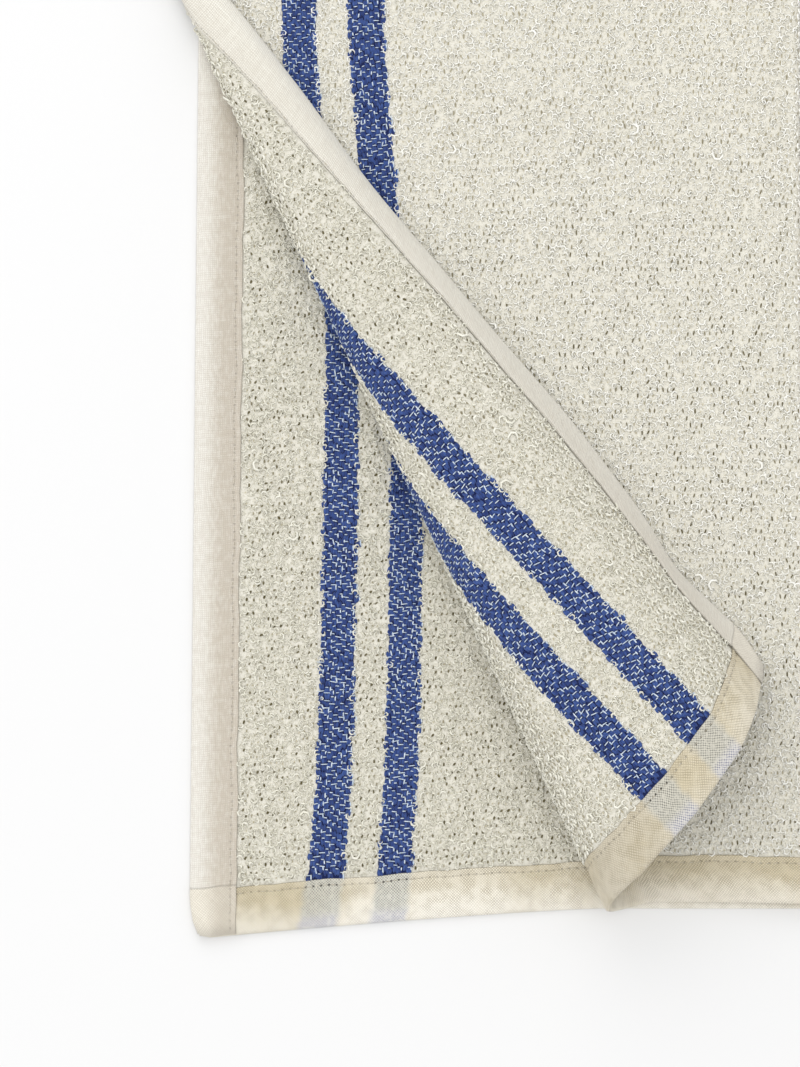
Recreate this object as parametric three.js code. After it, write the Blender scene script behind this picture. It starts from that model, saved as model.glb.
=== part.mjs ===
// A square washcloth of thin looped terry, bound all round with woven tape, folded in half with the
// fold at the right, and with the near corner of the upper layer curled back over its own face.
// Millimetres, +Z up, lying on Z = 0. +X runs towards the fold, +Y away from the viewer.
//
// Every piece is laid on one curved middle surface of the cloth. A place on the cloth is (u, v): u runs
// from the lower layer's side edge round the fold to the upper layer's side edge, v from the near hem
// to the far hem, both measured on the cloth as if it lay flat.
import * as THREE from 'three';

// The cloth, flat
const CLOTH = 336;
const TERRY = 2.0; // thickness over the loops
const PRESSED = 1.0; // thickness where the tape holds it
const TAPE = 0.6; // the folded binding tape, one leg
const TAPE_WIDTH = 12;
const GAP = 0.3; // between pieces

// Where the terry swells again beside the tape, and where a side tape steps down off a hem tape
const SWELL = { from: TAPE_WIDTH + GAP, to: TAPE_WIDTH + 2.3 };
const STEP_DOWN = { from: TAPE_WIDTH + GAP, to: TAPE_WIDTH + 4 };
const TAPE_INNER = PRESSED / 2 + GAP;
const TAPE_OUTER = TAPE_INNER + TAPE;
const CORNER_RISE = TAPE_OUTER + GAP - TAPE_INNER; // a side tape lies over the hem tape's end

// Plan of the folded cloth. The two layers don't quite match, as in any cloth folded by hand.
const LOWER_EDGE = { near: -83.8, far: -80.3 }; // X of the lower layer's side edge
const FOLD_EDGE = { near: 86.0, far: 80.7 }; // X of the fold, which bears out towards the viewer
const LOWER_DIP = { depth: 8.3, spread: 111, power: 1.25, left: 0.4, past: 1.2 }; // the corner hangs lower
const FOLD_AT = { near: 171.5, far: 161.0 }; // u of the fold
const UPPER_CORNER = new THREE.Vector2(-75.4, 0.7); // the upper corner, if it were laid back flat
const UPPER_LEAN = THREE.MathUtils.degToRad(5.1);
const UPPER_BOW = { from: 215, over: 115, by: 11.5 };
const UPPER_HEM_BOW = { by: 1.4, over: 200 };
const TRUE_WIDTH = 60; // the upper layer keeps its full width this far from its side edge

// Heights of the middle surface
const LOWER_Z = TERRY / 2;
const LAYER_GAP = 1.1;
const UPPER_Z = TERRY + LAYER_GAP + TERRY / 2;
const FOLD_LOFT = 1.3; // the upper layer stands this much higher at the fold
const FOLD_LOFT_REACH = 14;
const FOLD_RADIUS = (UPPER_Z + FOLD_LOFT - LOWER_Z) / 2;
// The upper layer's far corner lies over the lower one's tapes, and droops where it hangs past them
const FAR_CORNER = { lift: 2.1, x: { from: -60, to: -38 }, v: { from: 288, to: 306 } };
const OVERHANG = { droop: 0.8, x: { from: -92, to: -82 }, v: { from: 280, to: 300 } };

// The curled corner is a cone of cloth about an apex near the far end of the upper side edge. Each row
// is one ruling: its angle from the line where the curl starts, how sharply it bends there (at 1 from
// the apex), and how far the cloth reaches along it compared with flat.
const APEX = new THREE.Vector3(-104.4, 286.6, UPPER_Z);
const CURL_START = THREE.MathUtils.degToRad(27.0); // from straight towards the viewer, to the right
const CURL = [
  { turn: 0.0, bend: 32.5, reach: 1.0 },
  { turn: 3.7, bend: 19.4, reach: 1.019 },
  { turn: 7.4, bend: 13.5, reach: 1.028 },
  { turn: 11.1, bend: -1.5, reach: 1.026 },
  { turn: 14.8, bend: 12.4, reach: 1.015 },
  { turn: 18.5, bend: 8.9, reach: 0.992 },
  { turn: 22.2, bend: -16.6, reach: 0.973 },
];
const TIGHTEST = 2.6; // radius of the tightest roll, where the edge starts to turn over
const ROLL_STEPS = 40;
const HALVINGS = 30; // to find where the curl starts
const LIFT_OFF = THREE.MathUtils.degToRad(5.0); // past this angle the curl no longer rests on the cloth
const STIFF = { from: 90, to: 150 }; // nearer the apex than this, only the terry bends and not the tape
const EDGE_REST = 3.35; // height of the curled side edge above the upper layer's middle
const SETTLE = { reach: 22, fromV: 170, toV: 215 }; // nearer the apex the edge still stands free
// The curled side edge wavers: in is towards the roll, along the cloth's face
const WAVERS = [
  { at: 34, over: 13, inwards: 2.2 },
  { at: 86, over: 26, inwards: -1.2 },
  { at: 172, over: 26, inwards: 1.1 },
  { at: 125, over: 100, inwards: 1.2 },
];
const WAVER_REACH = 12;
const WAVER_WAY = new THREE.Vector3(-0.78, -0.62, 0);

// Steps of the faceted surface
const ROW_STEP = { open: 14, tight: 3, from: 212, to: 252 }; // tight where the edge turns over
const LOWER_STEP = 18;
const UPPER_STEPS = 4;
const CURL_STEPS = { count: 18, power: 1.25 };
const CURL_ROOM = 4; // least width of cloth that the curl's steps share
const FOLD_STEPS = 6;

// Middle of the box that the cloth fills, which becomes the origin
const CENTRE = new THREE.Vector3(-5.09, 163.8, 0);

const { lerp, clamp, smoothstep } = THREE.MathUtils;

const fade = (range, d) => 1 - smoothstep(d, range.from, range.to);
const foldAt = (v) => lerp(FOLD_AT.near, FOLD_AT.far, v / CLOTH);
const foldX = (v) => lerp(FOLD_EDGE.far, FOLD_EDGE.near, (1 - v / CLOTH) ** 3);
const lowerX = (v) => lerp(LOWER_EDGE.near, LOWER_EDGE.far, v / CLOTH);
const foldReach = (Math.PI * FOLD_RADIUS) / 2; // cloth taken up by half of the fold

function upperX(v) {
  const bow = Math.max(0, (v - UPPER_BOW.from) / UPPER_BOW.over);
  return UPPER_CORNER.x - Math.sin(UPPER_LEAN) * v + UPPER_BOW.by * bow * bow;
}

function valueAt(turn, column) {
  const place = clamp(turn / CURL[1].turn, 0, CURL.length - 1);
  const row = Math.min(Math.floor(place), CURL.length - 2);
  return lerp(CURL[row][column], CURL[row + 1][column], place - row);
}

// Distances of (u, v) from the nearest side edge and the nearest hem
function insets(u, v) {
  return { side: Math.min(u, CLOTH - u), hem: Math.min(v, CLOTH - v) };
}

// How far the middle of the cloth stands above its place in the field, because the tape is thicker
function tapeLift(u, v) {
  const { side, hem } = insets(u, v);
  const held = Math.max(fade(SWELL, side), fade(SWELL, hem));
  const corner = fade(STEP_DOWN, side) * fade(STEP_DOWN, hem);
  return held * (TAPE_OUTER - TERRY / 2) + corner * CORNER_RISE;
}

function halfThickness(u, v) {
  const { side, hem } = insets(u, v);
  const held = Math.max(fade(SWELL, side), fade(SWELL, hem));
  return lerp(TERRY, PRESSED, held) / 2;
}

// The lower layer: flat on the surface, its near left corner a little lower in plan
function lowerLayer(u, v) {
  const across = u / (foldAt(v) - foldReach);
  const x = lerp(lowerX(v), foldX(v) - FOLD_RADIUS, across);
  const short = clamp(1 - (x - LOWER_EDGE.near) / LOWER_DIP.spread, 0, LOWER_DIP.past);
  const dip = LOWER_DIP.depth * short ** LOWER_DIP.power * lerp(1, LOWER_DIP.left, v / CLOTH);
  return new THREE.Vector3(x, v - dip, LOWER_Z);
}

// Height of the upper layer's middle where it lies flat
function upperZ(x, v, gap) {
  const loft = FOLD_LOFT * Math.exp(-((gap / FOLD_LOFT_REACH) ** 2));
  const overCorner = (1 - fade(FAR_CORNER.v, v)) * fade(FAR_CORNER.x, x);
  const outside = fade(OVERHANG.x, x) * fade(OVERHANG.v, v);
  return UPPER_Z + loft + FAR_CORNER.lift * overCorner - OVERHANG.droop * outside;
}

// The upper layer as if it all lay flat, w from its side edge
function upperFlat(w, v) {
  const width = CLOTH - foldAt(v) - foldReach;
  const spare = foldX(v) - FOLD_RADIUS - upperX(v) - width;
  const x = upperX(v) + w + (spare * Math.max(0, w - TRUE_WIDTH)) / (width - TRUE_WIDTH);
  const bow = UPPER_HEM_BOW.by * Math.sin((Math.PI * w) / UPPER_HEM_BOW.over) * (1 - v / CLOTH);
  const y = UPPER_CORNER.y + v * Math.cos(UPPER_LEAN) + bow;
  return new THREE.Vector3(x, y, upperZ(x, v, width - w));
}

// Angle past the start of the curl, negative where the cloth lies flat, and distance from the apex
function polar(w, v) {
  const flat = upperFlat(w, v);
  const arm = new THREE.Vector2(flat.x - APEX.x, flat.y - APEX.y);
  return { flat, turn: CURL_START - Math.atan2(arm.x, -arm.y), distance: arm.length() };
}

// Inset from the side edge at which the row v starts to curl
function curlInset(v) {
  let [curled, lying] = [0, CLOTH / 2];
  for (let i = 0; i < HALVINGS; i += 1) {
    const middle = (curled + lying) / 2;
    if (polar(middle, v).turn > 0) curled = middle;
    else lying = middle;
  }
  return curled;
}

// Turns a ruling's frame (along it and off the cloth) from one angle of the curl to another
function roll(frame, from, to, distance, held) {
  const [along, up] = frame;
  const step = (to - from) / ROLL_STEPS;
  for (let i = 0; i < ROLL_STEPS; i += 1) {
    const degrees = THREE.MathUtils.radToDeg(from + (i + 0.5) * step);
    const bend = held * Math.min(valueAt(degrees, 'bend'), distance / TIGHTEST);
    const axis = up.clone().addScaledVector(along, bend).negate();
    const angle = axis.length() * step;
    axis.normalize();
    for (const vector of frame) vector.applyAxisAngle(axis, angle);
  }
}

// The ruling of the curl at an angle past its start: a unit direction from the apex. Past the angle
// soft the cloth is held by the tape, which bends less the nearer it is to the apex.
function ruling(turn, distance, soft) {
  const frame = [
    new THREE.Vector3(Math.sin(CURL_START), -Math.cos(CURL_START), 0),
    new THREE.Vector3(0, 0, 1),
  ];
  const free = Math.min(turn, soft);
  roll(frame, 0, free, distance, 1);
  roll(frame, free, turn, distance, smoothstep(distance, STIFF.from, STIFF.to));
  return frame[0];
}

// The curl before its edge is let down onto the cloth
function looseCurl(w, v) {
  const { flat, turn, distance } = polar(w, v);
  if (turn <= 0) return { place: flat, turn: 0 };
  const reach = distance * valueAt(THREE.MathUtils.radToDeg(turn), 'reach');
  const soft = Math.max(0, polar(SWELL.to, v).turn);
  const place = ruling(turn, distance, soft).multiplyScalar(reach).add(APEX);
  return { place, turn };
}

function upperLayer(w, v) {
  const { place, turn } = looseCurl(w, v);
  if (turn === 0) return place;
  const spare = looseCurl(0, v).place.z - UPPER_Z - EDGE_REST;
  const inset = Math.max(w, 0);
  const settled = 1 - smoothstep(v, SETTLE.fromV, SETTLE.toV);
  place.z -= Math.max(0, spare) * settled * Math.exp(-((inset / SETTLE.reach) ** 2));
  for (const waver of WAVERS) {
    const size = waver.inwards * Math.exp(-(((v - waver.at) / waver.over) ** 2) - inset / WAVER_REACH);
    place.addScaledVector(WAVER_WAY, size);
  }
  return place;
}

// The fold: half a turn from the lower layer up to the upper one
function foldPlace(u, v) {
  const angle = ((u - foldAt(v)) / foldReach) * (Math.PI / 2);
  const start = lowerLayer(foldAt(v) - foldReach, v);
  const end = upperFlat(CLOTH - foldAt(v) - foldReach, v);
  const share = (1 + Math.sin(angle)) / 2;
  const centre = foldX(v) - FOLD_RADIUS;
  return new THREE.Vector3(
    centre + FOLD_RADIUS * Math.cos(angle),
    lerp(start.y, end.y, share),
    lerp(start.z, end.z, share),
  );
}

function smoothPlace(u, v) {
  if (u < foldAt(v) - foldReach) return lowerLayer(u, v);
  if (u <= foldAt(v) + foldReach) return foldPlace(u, v);
  return upperLayer(CLOTH - u, v);
}

const NORMAL_STEP = 0.05; // half the distance over which the slope of the cloth is taken

// Unit normal of the middle surface, up on the lower layer and down on the upper one
function normalAt(u, v) {
  const alongU = smoothPlace(u + NORMAL_STEP, v).sub(smoothPlace(u - NORMAL_STEP, v));
  const alongV = smoothPlace(u, v + NORMAL_STEP).sub(smoothPlace(u, v - NORMAL_STEP));
  return alongU.cross(alongV).normalize();
}

// How far (u, v) lies on cloth that rests on what is below it: 1 flat, 0 in the curl
function resting(u, v) {
  if (u <= foldAt(v) + foldReach) return 1;
  const { turn } = looseCurl(CLOTH - u, v);
  return 1 - smoothstep(turn, 0, LIFT_OFF);
}

// A point at a height off the cloth's middle surface, positive on the face that is folded inside
function onCloth(u, v, height) {
  const place = smoothPlace(u, v);
  place.z += tapeLift(u, v) * resting(u, v);
  return place.addScaledVector(normalAt(u, v), height);
}

// Evenly spaced values from one number to another, both ends included
function spaced(from, to, step) {
  const count = Math.max(1, Math.round(Math.abs(to - from) / step));
  return Array.from({ length: count + 1 }, (_, i) => lerp(from, to, i / count));
}

// Insets where the tape's section bends; the cloth under it bends there too
const HEM_BENDS = [TAPE_WIDTH / 2];
const SIDE_BENDS = [TAPE_WIDTH * (2 / 3), TAPE_WIDTH / 3];

function margin(bends) {
  return [0, ...[...bends].reverse(), SWELL.from, SWELL.to];
}

function rows() {
  const near = [...margin(HEM_BENDS), STEP_DOWN.to];
  const far = near.map((d) => CLOTH - d).reverse();
  const inner = [
    ...spaced(STEP_DOWN.to, ROW_STEP.from, ROW_STEP.open).slice(1),
    ...spaced(ROW_STEP.from, ROW_STEP.to, ROW_STEP.tight).slice(1),
    ...spaced(ROW_STEP.to, CLOTH - STEP_DOWN.to, ROW_STEP.open).slice(1, -1),
  ];
  return [...near, ...inner, ...far];
}

// The columns are given as functions of v, because the fold isn't quite parallel to the side edges
function columns() {
  const lower = spaced(SWELL.to, CLOTH / 2, LOWER_STEP).slice(1, -1);
  const start = (v) => foldAt(v) - foldReach;
  const end = (v) => foldAt(v) + foldReach;
  const scale = (u, v) => SWELL.to + ((u - SWELL.to) / (CLOTH / 2 - SWELL.to)) * (start(v) - SWELL.to);
  const curlStart = (v) => CLOTH - Math.max(curlInset(v), SWELL.to + CURL_ROOM);
  const upper = spaced(0, 1, 1 / UPPER_STEPS).slice(1, -1);
  const curl = spaced(0, 1, 1 / CURL_STEPS.count).slice(0, -1).map((t) => t ** CURL_STEPS.power);
  return [
    ...margin(SIDE_BENDS).map((d) => () => d),
    ...lower.map((u) => (v) => scale(u, v)),
    ...spaced(0, 1, 1 / FOLD_STEPS).map((t) => (v) => lerp(start(v), end(v), t)),
    ...upper.map((t) => (v) => lerp(end(v), curlStart(v), t)),
    ...curl.map((t) => (v) => lerp(curlStart(v), CLOTH - SWELL.to, t)),
    ...margin(SIDE_BENDS).reverse().map((d) => () => CLOTH - d),
  ];
}

const ROWS = rows();
const COLUMNS = columns();

function solid({ points, triangles }) {
  const geometry = new THREE.BufferGeometry();
  geometry.setAttribute('position', new THREE.Float32BufferAttribute(points.flatMap((p) => p.toArray()), 3));
  geometry.setIndex(triangles.flat());
  geometry.computeVertexNormals();
  return geometry;
}

// The terry panel: the same grid on both faces, closed by a wall along its four edges
function panelGeometry() {
  const wide = COLUMNS.length;
  const high = ROWS.length;
  const points = [];
  for (const side of [1, -1]) {
    for (const v of ROWS) {
      for (const column of COLUMNS) {
        const u = column(v);
        points.push(onCloth(u, v, side * halfThickness(u, v)));
      }
    }
  }
  const at = (side, i, j) => side * wide * high + j * wide + i;
  const triangles = [];
  for (let j = 0; j < high - 1; j += 1) {
    for (let i = 0; i < wide - 1; i += 1) {
      const [a, b, c, d] = [at(0, i, j), at(0, i + 1, j), at(0, i + 1, j + 1), at(0, i, j + 1)];
      triangles.push([a, b, c], [a, c, d]);
      const [e, f, g, h] = [at(1, i, j), at(1, i + 1, j), at(1, i + 1, j + 1), at(1, i, j + 1)];
      triangles.push([e, g, f], [e, h, g]);
    }
  }
  const wall = (i, j, k, l) => {
    triangles.push([at(0, i, j), at(1, i, j), at(1, k, l)], [at(0, i, j), at(1, k, l), at(0, k, l)]);
  };
  for (let i = 0; i < wide - 1; i += 1) {
    wall(i, 0, i + 1, 0);
    wall(i + 1, high - 1, i, high - 1);
  }
  for (let j = 0; j < high - 1; j += 1) {
    wall(wide - 1, j, wide - 1, j + 1);
    wall(0, j + 1, 0, j);
  }
  return solid({ points, triangles });
}

// The section of a folded tape: its inset from the cloth's edge and its height off the middle surface
function tapeSection(bends, rise) {
  const inner = TAPE_INNER + rise;
  const outer = TAPE_OUTER + rise;
  const turn = -GAP - TAPE;
  const top = [
    [TAPE_WIDTH, inner],
    [TAPE_WIDTH, outer],
    ...bends.map((inset) => [inset, outer]),
    [-GAP, outer],
    [turn, outer / 2],
  ];
  const under = top.map(([inset, height]) => [inset, -height]).reverse();
  const lining = [...bends, -GAP].map((inset) => [inset, -inner]);
  return [...top, ...under, ...lining, ...lining.map(([inset]) => [inset, inner]).reverse()];
}

// A tape swept along an edge. place(t, inset, height) gives a point of the section at station t. The
// diagonals of its faces run as those of the cloth do, so outwards says whether u or v grows outwards.
function tapeGeometry(stations, bends, rise, place, outwards) {
  const points = [];
  for (const t of stations) {
    for (const [inset, height] of tapeSection(bends, rise(t))) points.push(place(t, inset, height));
  }
  const insetOf = tapeSection(bends, 0).map(([inset]) => inset);
  const count = insetOf.length;
  const triangles = [];
  for (let s = 0; s < stations.length - 1; s += 1) {
    for (let k = 0; k < count; k += 1) {
      const next = (k + 1) % count;
      const [a, b] = [s * count + k, s * count + next];
      const [c, d] = [a + count, b + count];
      if (insetOf[next] < insetOf[k] === outwards) triangles.push([a, b, d], [a, d, c]);
      else triangles.push([a, b, c], [b, d, c]);
    }
  }
  const section = tapeSection(bends, rise(stations[0]));
  const outline = section.map(([inset, height]) => new THREE.Vector2(inset, height));
  const last = (stations.length - 1) * count;
  for (const [a, b, c] of THREE.ShapeUtils.triangulateShape(outline, [])) {
    triangles.push([a, c, b], [last + a, last + b, last + c]);
  }
  return { points, triangles };
}

function turnedOver({ points, triangles }) {
  return { points, triangles: triangles.map(([a, b, c]) => [a, c, b]) };
}

function hemGeometry(far) {
  const place = (column, inset, height) => {
    const v = far ? CLOTH - inset : inset;
    return onCloth(column(v), v, height);
  };
  const tape = tapeGeometry(COLUMNS, HEM_BENDS, () => 0, place, far);
  return solid(far ? turnedOver(tape) : tape);
}

function sideGeometry(upper) {
  const ends = [-GAP - TAPE, ...ROWS.slice(1, -1), CLOTH + GAP + TAPE];
  const rise = (v) => CORNER_RISE * fade(STEP_DOWN, Math.min(v, CLOTH - v));
  const place = (v, inset, height) => onCloth(upper ? CLOTH - inset : inset, v, height);
  const tape = tapeGeometry(ends, SIDE_BENDS, rise, place, upper);
  return solid(upper ? tape : turnedOver(tape));
}

const PIECES = [
  { name: 'terry_panel', shape: panelGeometry, colour: 0xe4e0d2, roughness: 0.95 },
  { name: 'near_binding', shape: () => hemGeometry(false), colour: 0xe6dfcf, roughness: 0.85 },
  { name: 'far_binding', shape: () => hemGeometry(true), colour: 0xe6dfcf, roughness: 0.85 },
  { name: 'lower_side_binding', shape: () => sideGeometry(false), colour: 0xe3d9cb, roughness: 0.85 },
  { name: 'upper_side_binding', shape: () => sideGeometry(true), colour: 0xe6e1d2, roughness: 0.85 },
];

const washcloth = new THREE.Group();
for (const { name, shape, colour, roughness } of PIECES) {
  const material = new THREE.MeshStandardMaterial({ color: colour, roughness, metalness: 0 });
  const mesh = new THREE.Mesh(shape().translate(-CENTRE.x, -CENTRE.y, -CENTRE.z), material);
  mesh.name = name;
  washcloth.add(mesh);
}

export default washcloth;
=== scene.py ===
# %% [markdown]
# # A washcloth, folded in half with one corner curled back
#
# The cloth is a square of thin looped terry, with two blue stripes woven in near each side edge and a
# woven tape sewn round all four edges. It lies folded in half, with the fold at the right, and the near
# corner of its upper layer is curled back over its own face.
#
# Everything on it is laid out on one idea: a cloth has its own flat coordinates, u across and v along,
# and one function says where each (u, v) lies in space. The terry, its loops, the stripes, the tapes and
# the stitches are all placed with that function, so they stay together wherever the cloth goes.

# %% Load the frame
import math

import bmesh
import bpy
import numpy as np
from mathutils import Matrix, Vector, kdtree


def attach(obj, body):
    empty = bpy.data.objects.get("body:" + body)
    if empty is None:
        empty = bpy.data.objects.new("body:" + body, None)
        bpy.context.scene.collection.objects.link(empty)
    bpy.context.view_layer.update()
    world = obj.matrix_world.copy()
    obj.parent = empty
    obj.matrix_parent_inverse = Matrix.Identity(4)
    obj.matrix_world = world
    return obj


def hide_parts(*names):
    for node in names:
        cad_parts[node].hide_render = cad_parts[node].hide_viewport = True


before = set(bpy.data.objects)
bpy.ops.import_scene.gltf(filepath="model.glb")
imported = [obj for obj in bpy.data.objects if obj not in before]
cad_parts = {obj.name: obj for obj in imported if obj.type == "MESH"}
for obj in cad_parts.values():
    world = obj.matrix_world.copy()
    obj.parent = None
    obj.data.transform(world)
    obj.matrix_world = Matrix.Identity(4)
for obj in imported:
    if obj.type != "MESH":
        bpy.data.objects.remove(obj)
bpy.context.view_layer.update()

# %% [markdown]
# ## Sizes
#
# All sizes are in millimetres, as on a sewing pattern, and turned to metres at the very end. The cloth
# is 336 mm square. The tape shows 12 mm wide, which sets the scale of everything else. Where the terry
# runs under a tape it is pressed thin, and just past the tape it swells to its full thickness.

# %% Sizes of the cloth and its tape
MM = 0.001
CENTRE = np.array([-5.09, 163.8, 0.0])  # this place on the cloth's plan becomes the origin
CLOTH = 336.0
TERRY = 2.0
PRESSED = 0.7  # the terry's thickness under a tape
TAPE = 0.45
TAPE_WIDTH = 12.0
GAP = 0.05  # between the terry and a tape
SWELL = (TAPE_WIDTH + 0.3, TAPE_WIDTH + 2.3)  # insets between which the terry swells to its full thickness
STEP_DOWN = (TAPE_WIDTH + 0.3, TAPE_WIDTH + 4.0)  # where a side tape comes down off the end of a hem tape
TAPE_INNER = PRESSED / 2 + GAP
TAPE_OUTER = TAPE_INNER + TAPE
CORNER_RISE = TAPE_OUTER + GAP - TAPE_INNER
CORNER = {"radius": 3.0, "taper": 1.3, "over": 11.0}  # its rounding, and how its side edge runs in
print("a bound edge is", round(2 * TAPE_OUTER, 2), "mm thick, and the terry", TERRY, "mm")

# %% Plan and heights of the folded cloth
LOWER_EDGE = {"near": -83.8, "far": -80.3}  # x of the lower layer's side edge, at the near and far hem
FOLD_EDGE = {"near": 86.0, "far": 80.7}  # x that the fold reaches
LOWER_DIP = {"depth": 8.3, "spread": 111.0, "power": 1.25, "left": 0.4, "past": 1.2}  # at its corner
FOLD_AT = {"near": 171.5, "far": 161.0}  # u of the line along which the cloth is folded
UPPER_CORNER = (-75.4, 0.7)  # where the upper layer's near corner was before it was turned back
UPPER_LEAN = math.radians(5.1)
UPPER_BOW = {"start": 215.0, "over": 115.0, "by": 11.5}  # the side edge swings in towards the far hem
UPPER_HEM_BOW = {"by": 1.4, "over": 200.0}
TRUE_WIDTH = 60.0  # this far in from its side edge, the upper layer is neither stretched nor gathered
LAYERS_APART = 1.1
LOWER_Z = TERRY / 2
UPPER_Z = TERRY + LAYERS_APART + TERRY / 2
FOLD_LOFT = {"by": 1.3, "reach": 14.0}  # beside the fold the upper layer is raised
FOLD_RADIUS = (UPPER_Z + FOLD_LOFT["by"] - LOWER_Z) / 2
FOLD_REACH = math.pi * FOLD_RADIUS / 2
FAR_CORNER = {"lift": 2.1, "x": (-60.0, -38.0), "v": (288.0, 306.0)}
OVERHANG = {"droop": 0.8, "x": (-82.0, -92.0), "v": (280.0, 300.0)}
LIFT_OFF = math.radians(5.0)  # by here past the curl's start, the cloth is clear of the layer below
NORMAL_STEP = 0.05
print("the two layers lie at", LOWER_Z, "and", UPPER_Z, "mm, and the fold's radius is", FOLD_RADIUS)

# %% The curl, a cone of cloth about an apex
APEX = np.array([-104.4, 286.6, UPPER_Z])
CURL_START = math.radians(27.0)
CURL = [  # angle from where the curl starts, how sharply it bends there, how far the cloth reaches
    {"turn": 0.0, "bend": 32.5, "reach": 1.0},
    {"turn": 3.7, "bend": 19.4, "reach": 1.019},
    {"turn": 7.4, "bend": 13.5, "reach": 1.028},
    {"turn": 11.1, "bend": -1.5, "reach": 1.026},
    {"turn": 14.8, "bend": 12.4, "reach": 1.015},
    {"turn": 18.5, "bend": 8.9, "reach": 0.992},
    {"turn": 22.2, "bend": -16.6, "reach": 0.973},
]
TIGHTEST = 1.45  # the smallest radius that the cloth rolls to, close to the apex
EDGE_REST = 3.35  # height over the upper layer at which the curl's edge is let down
SETTLE = {"reach": 22.0, "v": (170.0, 215.0)}
WAVERS = [  # small waves of the curl's edge
    {"at": 34.0, "over": 13.0, "inwards": 2.2},
    {"at": 86.0, "over": 26.0, "inwards": -1.2},
    {"at": 172.0, "over": 26.0, "inwards": 1.1},
    {"at": 125.0, "over": 100.0, "inwards": 1.2},
]
WAVER_REACH = 12.0
WAVER_WAY = np.array([-0.78, -0.62, 0.0])
ROLL_STEPS = 40  # small turns by which the cloth is rolled up
print("the curl turns through", CURL[-1]["turn"], "degrees about its apex")

# %% [markdown]
# ## Where each point of the cloth lies
#
# The lower layer is flat. The fold is half a turn of a small circle. The upper layer is flat too, up to
# the line where the curl starts. Cloth can bend but hardly stretch, and a sheet that only bends is made
# of straight lines: here they all meet in one apex near the far end of the side edge, so the curl is a
# cone. Its cross-section comes from a short table of how sharply the cloth bends at each line. A cloth
# simulation would fall its own way each time, where this follows the lie that the photograph shows.
#
# All functions take arrays, so a hundred thousand points are placed in a second or two.

# %% Small helpers for blending numbers
def smooth(x, low, high):
    """0 at low and 1 at high, with a soft step between."""
    t = np.clip((x - low) / (high - low), 0.0, 1.0)
    return t * t * (3.0 - 2.0 * t)


def between(ends, share):
    return ends["near"] + (ends["far"] - ends["near"]) * share


def join(*columns):
    """Numbers side by side, as one row for each point."""
    return np.stack(np.broadcast_arrays(*columns), axis=-1).astype(float)


def fold_at(v):
    return between(FOLD_AT, v / CLOTH)


def fold_x(v):
    return FOLD_EDGE["far"] + (FOLD_EDGE["near"] - FOLD_EDGE["far"]) * (1.0 - v / CLOTH) ** 3


print("halfway along the cloth, the fold is at u", fold_at(CLOTH / 2), "and x", round(fold_x(CLOTH / 2), 1))


# %% The flat parts
def lower_layer(u, v):
    across = u / (fold_at(v) - FOLD_REACH)
    low = between(LOWER_EDGE, v / CLOTH)
    x = low + (fold_x(v) - FOLD_RADIUS - low) * across
    short = np.clip(1.0 - (x - LOWER_EDGE["near"]) / LOWER_DIP["spread"], 0.0, LOWER_DIP["past"])
    fading = 1.0 + (LOWER_DIP["left"] - 1.0) * v / CLOTH
    return join(x, v - LOWER_DIP["depth"] * short ** LOWER_DIP["power"] * fading, LOWER_Z)


def upper_z(x, v, gap):
    loft = FOLD_LOFT["by"] * np.exp(-((gap / FOLD_LOFT["reach"]) ** 2))
    corner = smooth(v, *FAR_CORNER["v"]) * (1.0 - smooth(x, *FAR_CORNER["x"]))
    outside = smooth(x, *OVERHANG["x"]) * (1.0 - smooth(v, *OVERHANG["v"]))
    return UPPER_Z + loft + FAR_CORNER["lift"] * corner - OVERHANG["droop"] * outside


def upper_flat(w, v):
    """The upper layer as if it all lay flat, w from its side edge."""
    bow = np.maximum(0.0, (v - UPPER_BOW["start"]) / UPPER_BOW["over"])
    edge = UPPER_CORNER[0] - math.sin(UPPER_LEAN) * v + UPPER_BOW["by"] * bow * bow
    width = CLOTH - fold_at(v) - FOLD_REACH
    spare = fold_x(v) - FOLD_RADIUS - edge - width
    x = edge + w + spare * np.maximum(0.0, w - TRUE_WIDTH) / (width - TRUE_WIDTH)
    hem = UPPER_HEM_BOW["by"] * np.sin(math.pi * w / UPPER_HEM_BOW["over"]) * (1.0 - v / CLOTH)
    y = UPPER_CORNER[1] + v * math.cos(UPPER_LEAN) + hem
    return join(x, y, upper_z(x, v, width - w))


def fold_place(u, v):
    angle = (u - fold_at(v)) / FOLD_REACH * (math.pi / 2)
    start = lower_layer(fold_at(v) - FOLD_REACH, v)
    end = upper_flat(CLOTH - fold_at(v) - FOLD_REACH, v)
    share = (1.0 + np.sin(angle)) / 2
    x = fold_x(v) - FOLD_RADIUS + FOLD_RADIUS * np.cos(angle)
    y = start[:, 1] + (end[:, 1] - start[:, 1]) * share
    z = start[:, 2] + (end[:, 2] - start[:, 2]) * share
    return join(x, y, z)


print("the lower layer's near corner lies at", lower_layer(np.zeros(1), np.zeros(1))[0].round(1))


# %% The curl
def polar(w, v):
    """The flat place, its angle past the start of the curl, and its distance from the apex."""
    flat = upper_flat(w, v)
    arm = flat[:, :2] - APEX[:2]
    return flat, CURL_START - np.arctan2(arm[:, 0], -arm[:, 1]), np.hypot(arm[:, 0], arm[:, 1])


def curl_value(turn, column):
    return np.interp(np.degrees(turn), [row["turn"] for row in CURL], [row[column] for row in CURL])


def rotated(vectors, axes, angles):
    cosine, sine = np.cos(angles)[:, None], np.sin(angles)[:, None]
    dot = np.sum(vectors * axes, axis=1, keepdims=True)
    return vectors * cosine + np.cross(axes, vectors) * sine + axes * dot * (1.0 - cosine)


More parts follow.
